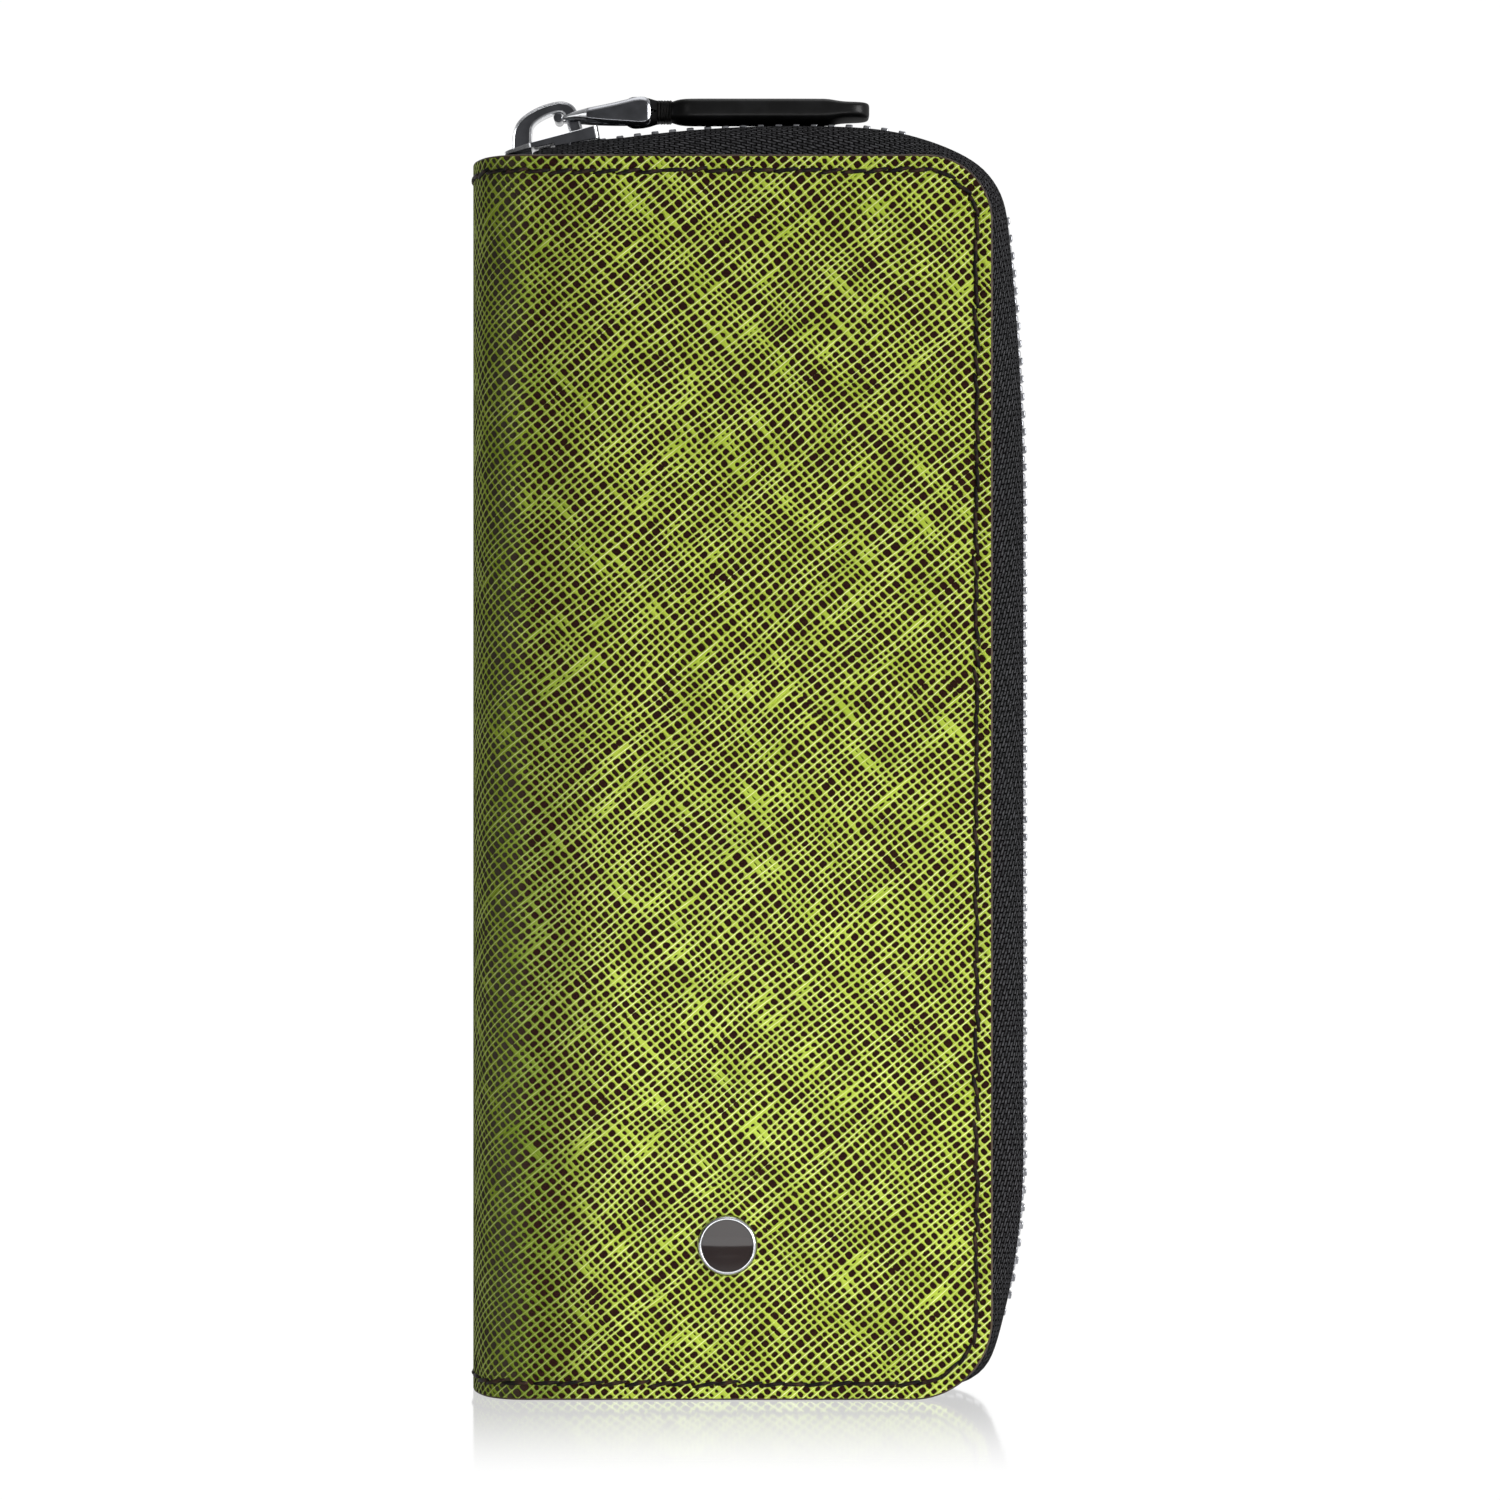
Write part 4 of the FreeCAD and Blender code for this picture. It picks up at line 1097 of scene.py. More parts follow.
def zip_tape(name, side):
    """One tape, laid along its edge of the case."""
    sections = [tape_section(*station) for station in tape_stations()]

    def place(column, row):
        away, point = sections[column][row]
        return point + Vector((0, side * away, 0))

    piece = woven_grid(name, len(sections), len(sections[0]), place)
    layer = piece.data.uv_layers[0]
    layer.name = "weave"
    for spot in piece.data.uv_layers["weave"].data:
        spot.uv = (spot.uv[0] * CHAIN_LENGTH, spot.uv[1] * TAPE_WIDTH)
    edit(piece)
    bpy.ops.mesh.normals_make_consistent(inside=False)
    done(piece)
    middle = piece.data.polygons[len(piece.data.polygons) // 2]
    if middle.normal.dot(middle.center - AIM) < 0:
        piece.data.flip_normals()
    dressed(piece, "zip_tape", TWILL_FINISH)
    applied(piece, "SOLIDIFY", thickness=TAPE, offset=-1)
    applied(piece, "SUBSURF", levels=1, render_levels=1)
    return smooth(piece, 60)


for side, word in SIDES.items():
    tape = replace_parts(zip_tape(word + "_tape", side), word + "_zip_tape")
    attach(tape, word + "_half")
    print(tape.name, "faces", len(tape.data.polygons))

# %% [markdown]
# ## Teeth
# Each tooth is a metal clamp pressed on the edge of the tape, with a narrower head that
# meshes with the other row. A cube, drawn in at the head and bevelled, is copied along the
# chain, every other tooth on the other side. At the two corners of the zip side the
# photograph shows hardly any teeth, so the rows draw in behind the tape there.

# %% Teeth
TOOTH_PITCH = 2.3 * MM
TOOTH_WIDTH = 0.95 * MM
TOOTH_THICK = {FRONT: 1.42 * MM, BACK: 1.3 * MM}
TOOTH_ROOT = 2.3 * MM
TOOTH_HEAD = 0.5 * MM
TOOTH_ROUND = 0.15 * MM
HEAD_THIN = 0.75
TOOTH_SINK = 0.62 * MM
SUNK_HEADINGS = [(13.0, 84.6), (102.0, 190.0)]
SINK_OVER = 4.0
FINE_STEP = 0.02 * MM


# Bright nickel plate, a little worn.
plated = {"rough": (0.12, 0.14), "metal": 1.0}
NICKEL_FINISH = clouded("nickel_plate", (700.0, 3.0), ("747579", "9a9b9f"), **plated)


def tooth_model(thick):
    """One tooth: x along the chain, y from the head to the root, z up."""
    scale = (TOOTH_WIDTH, TOOTH_ROOT + TOOTH_HEAD, thick)
    middle = (0, (TOOTH_ROOT - TOOTH_HEAD) / 2, 0)
    model = started("tooth_model", bpy.ops.mesh.primitive_cube_add, scale, size=1, location=middle)
    edit(model)
    bpy.ops.mesh.bisect(plane_co=(0, TOOTH_HEAD, 0), plane_no=(0, 1, 0))
    bpy.ops.mesh.select_all(action="SELECT")
    bpy.ops.mesh.bevel(offset=TOOTH_ROUND, segments=2)
    done(model)
    for corner in model.data.vertices:
        if corner.co.y < 0:
            corner.co.z *= HEAD_THIN
    return smooth(model, 50)


def corner_sink(heading):
    """How far the teeth draw in behind the tape where it is pulled round a corner."""
    share = max(min(heading - first, last - heading) for first, last in SUNK_HEADINGS) / SINK_OVER
    return TOOTH_SINK * max(0, min(1, share))


def teeth(name, side, offset):
    """One row of teeth at an even pitch along the chain."""
    model = tooth_model(TOOTH_THICK[side])
    matrices = []
    before = None
    to_next = offset
    for x, z, heading in walk(chain_path(TEETH_LEFT), FINE_STEP, 0):
        outward = Vector((math.sin(heading), 0, math.cos(heading)))
        place = Vector((x, 0, z)) - outward * corner_sink(abs(math.degrees(heading)))
        to_next -= (place - before).length if before else 0
        before = place
        if to_next <= 0:
            along = Vector((math.cos(heading), 0, -math.sin(heading))) * side
            matrices.append(set_down(place, along, outward))
            to_next += TOOTH_PITCH
    row = copied(name, model, matrices)
    discard(model)
    return dressed(row, "zip_metal", NICKEL_FINISH)


for side, word in SIDES.items():
    offset = 0 if side == FRONT else TOOTH_PITCH / 2
    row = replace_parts(teeth(word + "_teeth", side, offset), word + "_zip_teeth")
    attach(row, word + "_half")
    print(row.name, "faces", len(row.data.polygons))

# %% [markdown]
# ## The slider, its crown and the pull link
# These are zinc castings, plated dark and polished on the edges. The solids of the slider and
# the stops have the right outlines but dead sharp edges, so a copy is cleaned of its flat
# triangles and bevelled, and every edge catches a line of light. The crown and the link flow
# from one section to the next, so they are lofted through stations instead.

# %% Metal finishes
# Dark plate on the flanks, the same metal polished, and a satin grey on the link's bevels.
FLAT_ENOUGH = math.radians(2)
CAST_SHARP = 28
dark_plate = {"rough": (0.05, 0.16), "metal": 1.0}
DARK_FINISH = clouded("dark_cast_metal", (500.0, 3.0), ("48494c", "55565a"), **dark_plate)
brushed = {"rough": (0.1, 0.16), "metal": 1.0}
SATIN_FINISH = clouded("satin_cast_metal", (900.0, 2.0), ("85868a", "85868a"), **brushed)
polished = {"rough": (0.12, 0.08), "metal": 1.0}
BRIGHT_FINISH = clouded("bright_cast_metal", (900.0, 2.0), ("c4c5c8", "c4c5c8"), **polished)


def cast_copy(name, node):
    """A copy of a solid's mesh, joined up and freed of the triangles on its flat faces."""
    piece = bpy.data.objects.new(name, frame["nodes"][node].data.copy())
    bpy.context.scene.collection.objects.link(piece)
    edit(piece)
    bpy.ops.mesh.remove_doubles(threshold=NEAR / 10)
    bpy.ops.mesh.dissolve_limited(angle_limit=FLAT_ENOUGH)
    done(piece)
    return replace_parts(piece, node)


def refinished(piece, test, finish_index=1):
    """Gives the faces that pass a test the second finish, or a later one."""
    edit(piece)
    pick(piece, "FACE", test)
    piece.active_material_index = finish_index
    bpy.ops.object.material_slot_assign()
    return done(piece)


def rounded_over(piece, width, segments):
    """Bevels every sharp edge and polishes the bevels."""
    return smooth(eased(piece, width, segments, CAST_SHARP, material=0), 30)


print("metal finishes ready")

# %% Slider, crown and stops
SLIDER_ROUND = 0.4 * MM
CROWN_ROUND = 0.1 * MM
CROWN_FRAME = 0.18 * MM
CROWN_PANEL = 0.12 * MM
FLANK = 0.99
NEARLY_FLANK = 0.9


def is_flank(face):
    """A face that looks straight to the front or the back."""
    return abs(face.normal.y) > FLANK


slider = dressed(cast_copy("slider_plates", "slider_body"), "pull_metal", BRIGHT_FINISH, DARK_FINISH)
refinished(slider, is_flank)
rounded_over(slider, SLIDER_ROUND, 1)
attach(slider, "zip_slider")

# The crown's outer and inner edge in millimetres, from the nose foot to the tail foot.
CROWN_OUTER = [
    (-31.0, 161.6),
    (-30.85, 164.2),
    (-29.9, 166.0),
    (-27.6, 167.5),
    (-24.9, 168.26),
    (-23.2, 167.85),
    (-22.35, 166.6),
    (-21.6, 164.0),
]
CROWN_INNER = [
    (-28.4, 162.3),
    (-28.42, 164.2),
    (-28.1, 165.3),
    (-26.7, 166.25),
    (-25.2, 166.78),
    (-24.45, 166.72),
    (-24.05, 166.0),
    (-23.45, 164.0),
]
CROWN_HALF = 1.2
CROWN_STEPS = 6


def flowing(points):
    """A smooth line through some points, with a few steps from each to the next."""
    ends = [points[0]] + points + [points[-1]]
    line = []
    for index in range(len(points) - 1):
        before, start, end, after = (Vector(point) for point in ends[index : index + 4])
        for step in range(CROWN_STEPS):
            share = step / CROWN_STEPS
            bend = (end - before) * share + (2 * before - 5 * start + 4 * end - after) * share**2
            bend += (3 * start - before - 3 * end + after) * share**3
            line.append(start + bend / 2)
    return line + [Vector(points[-1])]


def crown_arch(name):
    """The crown: a frame section with sunk panels, carried along the arch."""
    outer = flowing(CROWN_OUTER)
    inner = flowing(CROWN_INNER)
    edge = CROWN_FRAME / MM
    sunk = CROWN_HALF - CROWN_PANEL / MM
    bevel = edge + CROWN_PANEL / MM / 2
    half = [(inner, 0, CROWN_HALF), (inner, edge, CROWN_HALF), (inner, bevel, sunk)]
    half += [(outer, -inset, away) for line, inset, away in reversed(half)]
    section = [(1, *spot) for spot in half] + [(-1, *spot) for spot in reversed(half)]

    def place(column, row):
        side, line, inset, away = section[row % len(section)]
        across = (outer[column] - inner[column]).normalized()
        spot = line[column] + across * inset
        return Vector((spot.x, side * away, spot.y)) * MM

    return closed_tube(woven_grid(name, len(outer), len(section) + 1, place))


def is_panel(face):
    """A face of the crown's sunk panels."""
    depth = abs(face.calc_center_median().y)
    return abs(face.normal.y) > NEARLY_FLANK and depth < CROWN_HALF * MM - NEAR


crown = dressed(crown_arch("crown_arch"), "pull_metal", BRIGHT_FINISH, DARK_FINISH)
refinished(crown, is_panel)
rounded_over(crown, CROWN_ROUND, 2)
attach(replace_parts(crown, "slider_crown"), "zip_slider")

for word in SIDES.values():
    stops = cast_copy(word + "_end_stops", word + "_zip_stops")
    dressed(stops, "zip_metal", NICKEL_FINISH)
    rounded_over(stops, CROWN_ROUND, 2)
    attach(stops, word + "_half")
print("slider faces:", len(slider.data.polygons), "crown faces:", len(crown.data.polygons))

# %% Pull link
# Each arm of the frame from the nose to the pin end: place along, underside, top and outer
# face, in millimetres.
LINK_STATIONS = [
    (-24.4, 165.78, 166.06, 2.2),
    (-24.25, 165.73, 166.25, 2.3),
    (-23.1, 165.6, 166.72, 2.58),
    (-22.3, 165.5, 166.95, 2.83),
    (-21.5, 165.42, 167.13, 3.08),
    (-21.2, 165.38, 167.19, 3.17),
    (-20.8, 165.33, 167.28, 3.2),
    (-19.8, 165.22, 167.48, 3.2),
    (-17.9, 165.06, 167.87, 3.2),
    (-16.1, 164.95, 168.3, 3.2),
    (-15.0, 164.88, 168.58, 3.2),
    (-14.2, 164.83, 168.68, 3.2),
    (-13.7, 164.85, 168.66, 3.2),
    (-13.3, 164.97, 168.52, 3.18),
    (-13.0, 165.25, 168.2, 3.12),
    (-12.85, 165.7, 167.7, 3.05),
]
ARM = 0.9
ARM_TALL = 3.85
ARM_FACET = 0.58
FACET_SHARE = 0.42
ARM_SOFT = 0.16
ARM_INSIDE = 0.12
REAR_LIFT = 0.75
EYE_SHIFT = Vector((0.1, 0, -0.02)) * MM
EYE_RADIUS = 0.6 * MM
BAR_LENGTH = 4.6 * MM
BAR_EDGE = 0.15 * MM
NOSE_FROM = LINK_STATIONS[0][0] * MM
NOSE_END = -21.3 * MM
ARM_FLAT = 0.985
NOSE_FLAT = 0.6
joint_places = {joint["name"]: Vector(joint["pos_m"]) for joint in frame["joints"]}
PIN = joint_places["tab_swing"]
print("pin of the link at", [round(part / MM, 2) for part in PIN])


def arm_section(low, high, out):
    """The outline of an arm across its length: bevelled outside, nearly square inside."""
    facet = min(ARM_FACET, (high - low) * FACET_SHARE)
    edge = facet * ARM_SOFT
    lower = [(out - facet, low), (out - facet + edge, low + edge / 3)]
    lower += [(out - edge / 3, low + facet - edge), (out, low + facet)]
    upper = [(away, low + high - up) for away, up in reversed(lower)]
    return [(out - ARM, high - ARM_INSIDE), (out - ARM, low + ARM_INSIDE)] + lower + upper


def link_arm(name, side):
    """One arm of the link, lofted through its stations; the rear arm is the shallower one."""
    lift = REAR_LIFT if side == BACK else 0
    sections = []
    for x, low, high, out in LINK_STATIONS:
        sections.append(arm_section(low + lift * (high - low) / ARM_TALL, high, out))
    around = len(sections[0])

    def place(column, row):
        away, up = sections[column][row % around]
        return Vector((LINK_STATIONS[column][0], side * away, up)) * MM

    return closed_tube(woven_grid(name, len(sections), around + 1, place))


def cross_bar(name, place, radius):
    """A round bar between the two arms."""
    bar = {"radius": radius, "depth": BAR_LENGTH, "location": place}
    lying = {"vertices": 32, "rotation": (math.pi / 2, 0, 0)}
    piece = started(name, bpy.ops.mesh.primitive_cylinder_add, **bar, **lying)
    return eased(piece, BAR_EDGE, 3, 60)


def united(name, pieces):
    """Several pieces joined into one."""
    bpy.ops.object.select_all(action="DESELECT")
    for piece in pieces:
        piece.select_set(True)
    bpy.context.view_layer.objects.active = pieces[0]
    bpy.ops.object.join()
    return named(name)


def is_dark(face):
    """A flat flank behind the nose, or any face of the eye ahead of it."""
    middle = face.calc_center_median()
    return abs(face.normal.y) > ARM_FLAT and middle.x > NOSE_END or middle.x < NOSE_FROM


def is_nose(face):
    """A flank of the nose."""
    middle = face.calc_center_median()
    return abs(face.normal.y) > NOSE_FLAT and NOSE_FROM < middle.x < NOSE_END


arms = [link_arm("link_arm", side) for side in (FRONT, BACK)]
eye_bar = cross_bar("eye_bar", joint_places["pull_swing"] + EYE_SHIFT, EYE_RADIUS)
pin_bar = cross_bar("pin_bar", PIN, EYE_RADIUS)
link = united("link_frame", arms + [eye_bar, pin_bar])
dressed(smooth(link, 32), "pull_metal", SATIN_FINISH, DARK_FINISH, BRIGHT_FINISH)
refinished(link, is_dark)
# Painted highlight: the nose's flanks take the bright polished metal for the light they catch.
refinished(link, is_nose, 2)
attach(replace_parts(link, "pull_link"), "zip_pull")
print("link faces:", len(link.data.polygons))

# %% [markdown]
# ## The leather tab
# The tab is one strip of black leather, folded round the pin of the link, bound at the neck
# and padded over a core. The padded tongue is lofted: one grid, rolled into a tube whose
# section is a soft rectangle that grows from the neck and thins at the tip.

# %% Tab leather
DULL_BELOW = 1.35 * MM
POLISH_ABOVE = 0.6 * MM
POLISH = 0.35
CALF_GRAIN = 0.05 * MM


def black_calf(start):
    """Smooth black leather with a faint grain, polished above and dull underneath."""
    place = object_place(start)
    cloud = place.noise(350.0, 3.0)
    height = place.part(2)
    sockets = {
        "Base Color": cloud.ease(*SOFT_CLOUDS).mix(tint("070707"), tint("111112")),
        "Roughness": cloud * 0.15 + 0.3,
        "Specular IOR Level": 0.0,
        "Coat Weight": height.ease(PIN.z - DULL_BELOW, PIN.z - POLISH_ABOVE) * POLISH,
        "Coat Roughness": 0.36,
        "Normal": place.noise(2600.0, 3.0).bump(CALF_GRAIN, 0.5),
    }
    return start.node("BsdfPrincipled", sockets)


TAB_FINISH = finish("black_calf", black_calf)
print("tab leather nodes:", len(TAB_FINISH.node_tree.nodes))

# %% Tongue
TAB_RISE = 0.05
TAB_STATIONS = [
    (2.3, 0.7, 1.55),
    (2.9, 1.0, 1.8),
    (4.6, 1.15, 1.9),
    (5.0, 1.3, 2.4),
    (5.9, 1.45, 3.4),
    (7.0, 1.46, 3.95),
    (9.0, 1.46, 4.0),
    (16.0, 1.45, 4.0),
    (24.4, 1.45, 4.0),
    (25.2, 1.42, 4.0),
    (26.6, 1.14, 4.0),
    (27.4, 1.05, 4.0),
    (28.7, 1.03, 3.9),
    (29.8, 1.04, 3.3),
    (30.4, 0.98, 2.3),
    (30.6, 0.7, 1.7),
]
TAB_AROUND = 32
SQUARE_ACROSS = 0.3
SQUARE_UP = 0.55


def tongue_place(column, row):
    """A point of the tongue's skin: along it by column, round its section by row."""
    ahead, thick, wide = TAB_STATIONS[column]
    turn = 2 * math.pi * row / TAB_AROUND
    across = math.copysign(abs(math.cos(turn)) ** SQUARE_ACROSS, math.cos(turn)) * wide
    upward = math.copysign(abs(math.sin(turn)) ** SQUARE_UP, math.sin(turn)) * thick
    return PIN + Vector((ahead, across, upward + TAB_RISE)) * MM


tongue = closed_tube(woven_grid("tab_tongue", len(TAB_STATIONS), TAB_AROUND + 1, tongue_place))
applied(tongue, "SUBSURF", levels=1, render_levels=1)
dressed(smooth(tongue, 50), "tab_leather", TAB_FINISH)
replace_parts(tongue, "tab_strap", "tab_core")
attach(tongue, "pull_tab")
print("tongue faces:", len(tongue.data.polygons))

# %% Loop round the pin
STRAP = 1.24
LOOP_RADIUS = 1.24
STRAP_HALF = 1.8
STRAP_ROUND = 0.15 * MM
LOOP_STEPS = 16
STRAP_ENDS = [(3.6, 0.62), (3.0, 0.67), (2.4, 0.8), (1.7, 1.03), (0.9, 1.19)]


def loop_line():
    """The middle of the strap in width and height, over the pin and back, in millimetres."""
    upper = [(ahead, up + TAB_RISE * ahead / STRAP_ENDS[0][0]) for ahead, up in STRAP_ENDS]
    lower = [(ahead, -up + TAB_RISE * ahead / STRAP_ENDS[0][0]) for ahead, up in STRAP_ENDS]
    turns = [math.pi / 2 + math.pi * step / LOOP_STEPS for step in range(LOOP_STEPS + 1)]
    bend = [(LOOP_RADIUS * math.cos(turn), LOOP_RADIUS * math.sin(turn)) for turn in turns]
    return upper + bend + lower[::-1]


STRAP_LINE = loop_line()
STRAP_ROWS = 7


def strap_place(column, row):
    """A point of the strap: along its line by column, across it by row."""
    ahead, up = STRAP_LINE[column]
    across = STRAP_HALF * (2 * row / (STRAP_ROWS - 1) - 1)
    return PIN + Vector((ahead, across, up)) * MM


strap = woven_grid("tab_loop", len(STRAP_LINE), STRAP_ROWS, strap_place)
applied(strap, "SOLIDIFY", thickness=STRAP * MM, offset=0)
eased(strap, STRAP_ROUND, 2)
dressed(smooth(strap, 40), "tab_leather", TAB_FINISH)
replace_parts(strap, "tab_strap")
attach(strap, "pull_tab")
print("loop faces:", len(strap.data.polygons))

# %% Binding at the neck
BINDING_FROM = 3.05
BINDING_TO = 4.55
BINDING_TURNS = 5
BINDING_THREAD = 0.22
BINDING_HALF = 2.02
BINDING_UP = 1.25
BINDING_SQUARE = 0.5
BINDING_LEAN = 0.05
BINDING_CROSS = 0.45


def binding_turn(name, ahead, slant):
    """One turn of thread round the neck, as a ring drawn out to the neck's section."""
    ring = {"major_radius": 1, "minor_radius": BINDING_THREAD, "rotation": (0, math.pi / 2, 0)}
    steps = {"major_segments": 28, "minor_segments": 8}
    turn = started(name, bpy.ops.mesh.primitive_torus_add, **ring, **steps)
    for corner in turn.data.vertices:
        around = math.atan2(corner.co.z, corner.co.y)
        spread = math.hypot(corner.co.y, corner.co.z) - 1
        across = math.copysign(abs(math.cos(around)) ** BINDING_SQUARE, math.cos(around))
        upward = math.copysign(abs(math.sin(around)) ** BINDING_SQUARE, math.sin(around))
        lean = slant * upward
        away = Vector((0, math.cos(around), math.sin(around))) * spread
        place = Vector((ahead + lean + corner.co.x, across * BINDING_HALF, upward * BINDING_UP))
        corner.co = PIN + (place + away + Vector((0, 0, TAB_RISE))) * MM
    return turn


# Waxed thread, blacker than the seam's.
black_wax = {"rough": (0.2, 0.45), "shine": 0.08, "span": (0.35, 0.8)}
BINDING_FINISH = clouded("binding_thread", (1500.0, 2.0), ("050505", "171514"), **black_wax)
turns = []
for index in range(BINDING_TURNS):
    share = index / (BINDING_TURNS - 1)
    ahead = BINDING_FROM + (BINDING_TO - BINDING_FROM) * share
    turns.append(binding_turn("binding_turn", ahead, BINDING_LEAN))
for slant in (-BINDING_CROSS, BINDING_CROSS):
    turns.append(binding_turn("binding_cross", (BINDING_FROM + BINDING_TO) / 2, slant))
binding = united("neck_binding", turns)
dressed(smooth(binding, 60), "seam_thread", BINDING_FINISH)
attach(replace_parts(binding, "tab_binding"), "pull_tab")
print("binding faces:", len(binding.data.polygons))

# %% [markdown]
# ## The badge
# A polished cup holds a low dome of dark resin, left plain. Both are turned shapes: half a
# section, drawn from the middle outward, is spun once round.

# %% Badge
BADGE_ASIDE = 33.3 * MM
BADGE_UP = 19.9 * MM
BADGE_MIDDLE = Vector((LEFT + BADGE_ASIDE, -OUTER, BADGE_UP))
# Half sections from the middle outward: radius and height above the leather, in millimetres.
RIM_SECTION = [
    (3.3, 0.3),
    (3.32, 0.66),
    (3.37, 0.76),
    (3.45, 0.79),
    (3.54, 0.76),
    (3.7, 0.62),
    (3.84, 0.44),
    (3.9, 0.26),
    (3.91, 0.0),
]
DOME_SECTION = [(0.0, 0.8), (0.8, 0.787), (1.6, 0.745), (2.3, 0.685), (2.9, 0.61), (3.36, 0.53)]
SPIN_STEPS = 64


def turned(name, section):
    """A section of (radius, proud) in millimetres, spun once round the badge's axis."""
    points = [BADGE_MIDDLE + Vector((radius, -proud, 0)) * MM for radius, proud in section]
    piece = draw(name, points, filled=False)
    edit(piece)
    once = {"steps": SPIN_STEPS, "angle": 2 * math.pi}
    bpy.ops.mesh.spin(center=BADGE_MIDDLE, axis=(0, 1, 0), **once)
    bpy.ops.mesh.select_all(action="SELECT")
    bpy.ops.mesh.remove_doubles(threshold=NEAR / 10)
    return smooth(facing_front(done(piece)), 60)


def dark_resin(start):
    """Plain brown-black resin under a clear polish."""
    cloud = object_place(start).noise(120.0, 2.0)
    sockets = {
        "Base Color": cloud.mix(tint("0e0504"), tint("190b09")),
        "Roughness": 0.06,
        "Specular IOR Level": 0.28,
    }
    return start.node("BsdfPrincipled", sockets)


# Mirror polish, with the faintest haze.
mirror_polish = {"rough": (0.06, 0.1), "metal": 1.0}
RIM_FINISH = clouded("polished_rim", (600.0, 2.0), ("b4b5b8", "b4b5b8"), **mirror_polish)
rim = turned("badge_cup", RIM_SECTION)
dressed(rim, "badge_metal", RIM_FINISH)
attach(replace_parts(rim, "badge_rim"), "front_half")
dome = turned("badge_dome", DOME_SECTION)
dressed(dome, "badge_resin", finish("dark_resin", dark_resin))
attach(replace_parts(dome, "badge_inlay"), "front_half")
print("badge faces:", len(rim.data.polygons), len(dome.data.polygons))

# %% [markdown]
# ## Inside the case
# Open, the case shows black suede on both covers and in the spine, two leather sleeves sewn
# to the back and a flat pocket on the front. The linings are panels like the covers; the
# sleeves are a grid bent over the pens; the pocket is an outline with a thumb notch.

# %% Inner finishes
BLACK_EDGE_WIDTH = 0.4 * MM
PEBBLE_DEPTH = 0.06 * MM

# Black suede: a matt nap in soft clouds.
nap = {"rough": (0.0, 0.95), "sheen": 0.35, "grain": (3500.0, 2.0, 0.05, 0.6)}
SUEDE_FINISH = clouded("black_suede", (90.0, 4.0), ("242222", "343131"), **nap)


def inner_calf(start):
    """Plain black calf inside, matt, with a fine pebble."""
    place = object_place(start)
    pebble = place.node("TexVoronoi", {"Vector": place, "Scale": 1500.0})
    cloud = place.noise(150.0, 3.0)
    sockets = {
        "Base Color": cloud.ease(*SOFT_CLOUDS).mix(tint("2a2726"), tint("363231")),
        "Roughness": cloud * 0.15 + 0.45,
        "Normal": (1 - pebble).bump(PEBBLE_DEPTH, 0.6),
    }
    return start.node("BsdfPrincipled", sockets)


def grey_board(start):
    """Grey-brown board, black along its edge at the fold, where that edge shows when open."""
    place = object_place(start)
    cloud = place.noise(300.0, 4.0)
    board_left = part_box("front_board")[0].x
    plain = place.part(0).ease(board_left + BLACK_EDGE_WIDTH / 2, board_left + BLACK_EDGE_WIDTH)
    board = cloud.ease(*SOFT_CLOUDS).mix(tint("a8987f"), tint("b7a88f"))
    colour = plain.mix(tint("1f1c1a"), board)
    return start.node("BsdfPrincipled", {"Base Color": colour, "Roughness": 0.85})


INNER_FINISH = finish("inner_calf", inner_calf)
BOARD_FINISH = finish("grey_board", grey_board)
for node in ("front_board", "back_board"):
    frame["nodes"][node].data.materials[0] = BOARD_FINISH
frame["nodes"]["badge_washer"].data.materials[0] = NICKEL_FINISH
print("inner finishes ready")

# %% Linings
LINING_CORNER = 5 * MM
LINING_ROUND = 0.12 * MM
SUEDE = 0.5 * MM
FOLD_GAP = 0.6 * MM


def lining(name, node, side):
    """The suede on one cover; its open face looks into the case."""
    low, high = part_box(node)
    face_y = high.y if side == FRONT else low.y
    radii = (LINING_CORNER, LINING_CORNER)
    piece = rounded_panel(name, low.x, high.x, low.z, high.z, face_y, -side, radii)
    applied(piece, "SOLIDIFY", thickness=high.y - low.y, offset=-1)
    eased(piece, LINING_ROUND, 2)
    dressed(smooth(piece), "lining_suede", SUEDE_FINISH)
    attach(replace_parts(piece, node), SIDES[side] + "_half")
    print(name, "faces", len(piece.data.polygons))


for side, word in SIDES.items():
    lining(word + "_suede", word + "_lining", side)

low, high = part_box("spine_lining")
inner = LEATHER + SUEDE
for side, word in SIDES.items():
    outline = [(LEATHER, low.z), (LEATHER, high.z), (inner, high.z), (inner, low.z)]
    section = [Vector((FOLD_X, side * (OUTER - sunk), z)) for sunk, z in outline]
    suede = spun_spine(word + "_spine_suede", side, section)
    edit(suede)
    cut = {"plane_co": (FOLD_X - FOLD_GAP, 0, 0), "plane_no": (1, 0, 0)}
    bpy.ops.mesh.bisect(clear_outer=True, use_fill=True, **cut)
    done(suede)
    dressed(smooth(suede), "lining_suede", SUEDE_FINISH)
    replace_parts(suede, "spine_lining")
    over_fold(suede, side)
    print(suede.name, "faces", len(suede.data.polygons))

# %% Pen sleeves
SLEEVE_WALL = 0.8 * MM
SLEEVE_FLANGE = 3.5 * MM
SLEEVE_ROUND = 6.8 * MM
SLEEVE_FOOT = 0.7 * MM
SLEEVE_ROWS = 26
ARC_STEPS = 8
LIP_ROUND = 0.2 * MM


def arc(centre_x, centre_y, radius, first, last):
    """Points on a level arc between two angles in degrees."""
    points = []
    for step in range(ARC_STEPS + 1):
        turn = math.radians(first + (last - first) * step / ARC_STEPS)
        points.append((centre_x + radius * math.cos(turn), centre_y + radius * math.sin(turn)))
    return points


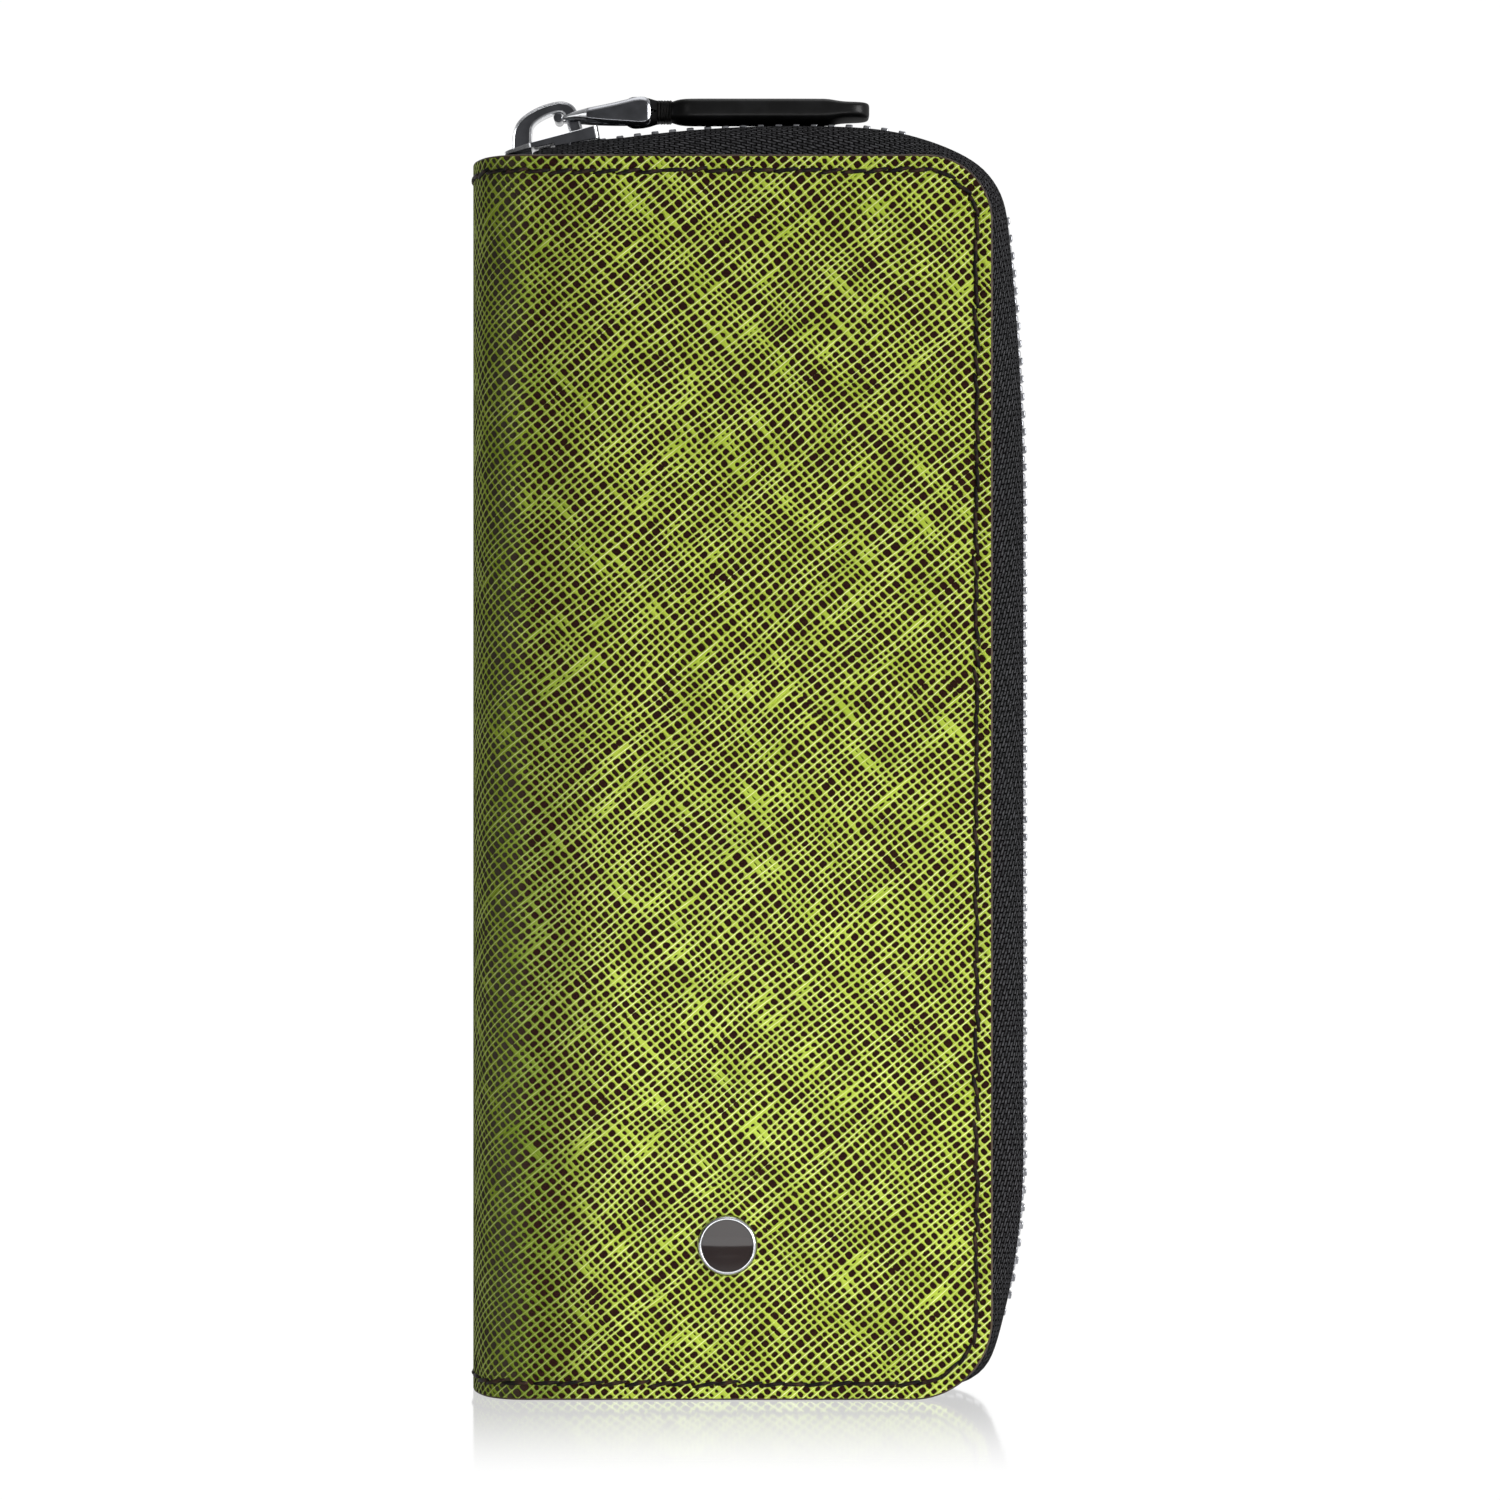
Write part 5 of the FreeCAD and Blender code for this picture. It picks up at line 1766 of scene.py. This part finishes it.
def pen_sleeve(name, node):
    """A leather channel, open at both ends, with a flange sewn down at either side."""
    low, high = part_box(node)
    seat = high.y - SLEEVE_WALL
    near = low.x + SLEEVE_FLANGE
    far = high.x - SLEEVE_FLANGE
    shoulder = low.y + SLEEVE_ROUND
    foot = SLEEVE_FOOT
    line = [(low.x, seat), (low.x + SLEEVE_FLANGE / 2, seat)]
    line += arc(near - foot, seat - foot, foot, 90, 0)
    line += arc(near + SLEEVE_ROUND, shoulder, SLEEVE_ROUND, 180, 270)
    line += arc(far - SLEEVE_ROUND, shoulder, SLEEVE_ROUND, 270, 360)
    line += arc(far + foot, seat - foot, foot, 180, 90)
    line += [(high.x - SLEEVE_FLANGE / 2, seat), (high.x, seat)]

    def place(column, row):
        x, y = line[column]
        return Vector((x, y, low.z + (high.z - low.z) * row / (SLEEVE_ROWS - 1)))

    piece = woven_grid(name, len(line), SLEEVE_ROWS, place)
    facing_front(piece)
    applied(piece, "SOLIDIFY", thickness=SLEEVE_WALL, offset=-1, use_even_offset=True)
    eased(piece, LIP_ROUND, 3, 60)
    dressed(smooth(piece, 40), "inner_leather", INNER_FINISH)
    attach(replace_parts(piece, node), "back_half")
    return piece


INNER_SEAM = 1.5 * MM
sleeve_rows = []
for name, node in (("left_sleeve", "left_pen_sleeve"), ("right_sleeve", "right_pen_sleeve")):
    pen_sleeve(name, node)
    low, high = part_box(node)
    for x in (low.x + INNER_SEAM, high.x - INNER_SEAM):
        run = line_run((x, high.z), (x, low.z))
        y = high.y - SLEEVE_WALL - THREAD_HALF / 2
        sleeve_rows.append(flat_seam("sleeve_row", [run], y, FRONT, STITCH_PITCH))
sleeve_seam = united("sleeve_seam", sleeve_rows)
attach(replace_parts(sleeve_seam, "sleeve_stitching"), "back_half")
print("sleeve seam faces:", len(sleeve_seam.data.polygons))

# %% Slip pocket
POCKET_NOTCH = 10 * MM
POCKET_ROUND = 3 * MM
low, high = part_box("front_pocket")
middle_x = (low.x + high.x) / 2
outline = arc(low.x + POCKET_ROUND, low.z + POCKET_ROUND, POCKET_ROUND, 180, 270)
outline += arc(high.x - POCKET_ROUND, low.z + POCKET_ROUND, POCKET_ROUND, 270, 360)
outline += [(high.x, high.z)]
outline += arc(middle_x, high.z, POCKET_NOTCH, 0, -180)
outline += [(low.x, high.z)]
pocket = draw("slip_pocket", [Vector((x, high.y, z)) for x, z in outline], filled=True)
if pocket.data.polygons[0].normal.y < 0:
    pocket.data.flip_normals()
applied(pocket, "SOLIDIFY", thickness=high.y - low.y, offset=-1)
eased(pocket, LIP_ROUND, 3)
dressed(smooth(pocket), "inner_leather", INNER_FINISH)
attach(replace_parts(pocket, "front_pocket"), "front_half")

left_line = low.x + INNER_SEAM
right_line = high.x - INNER_SEAM
base_line = low.z + INNER_SEAM
runs = [
    line_run((right_line, high.z), (right_line, base_line)),
    line_run((right_line, base_line), (left_line, base_line)),
    line_run((left_line, base_line), (left_line, high.z)),
]
pocket_seam = flat_seam("pocket_seam", runs, high.y + THREAD_HALF / 2, BACK, STITCH_PITCH)
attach(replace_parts(pocket_seam, "pocket_stitching"), "front_half")
print("pocket faces:", len(pocket.data.polygons))
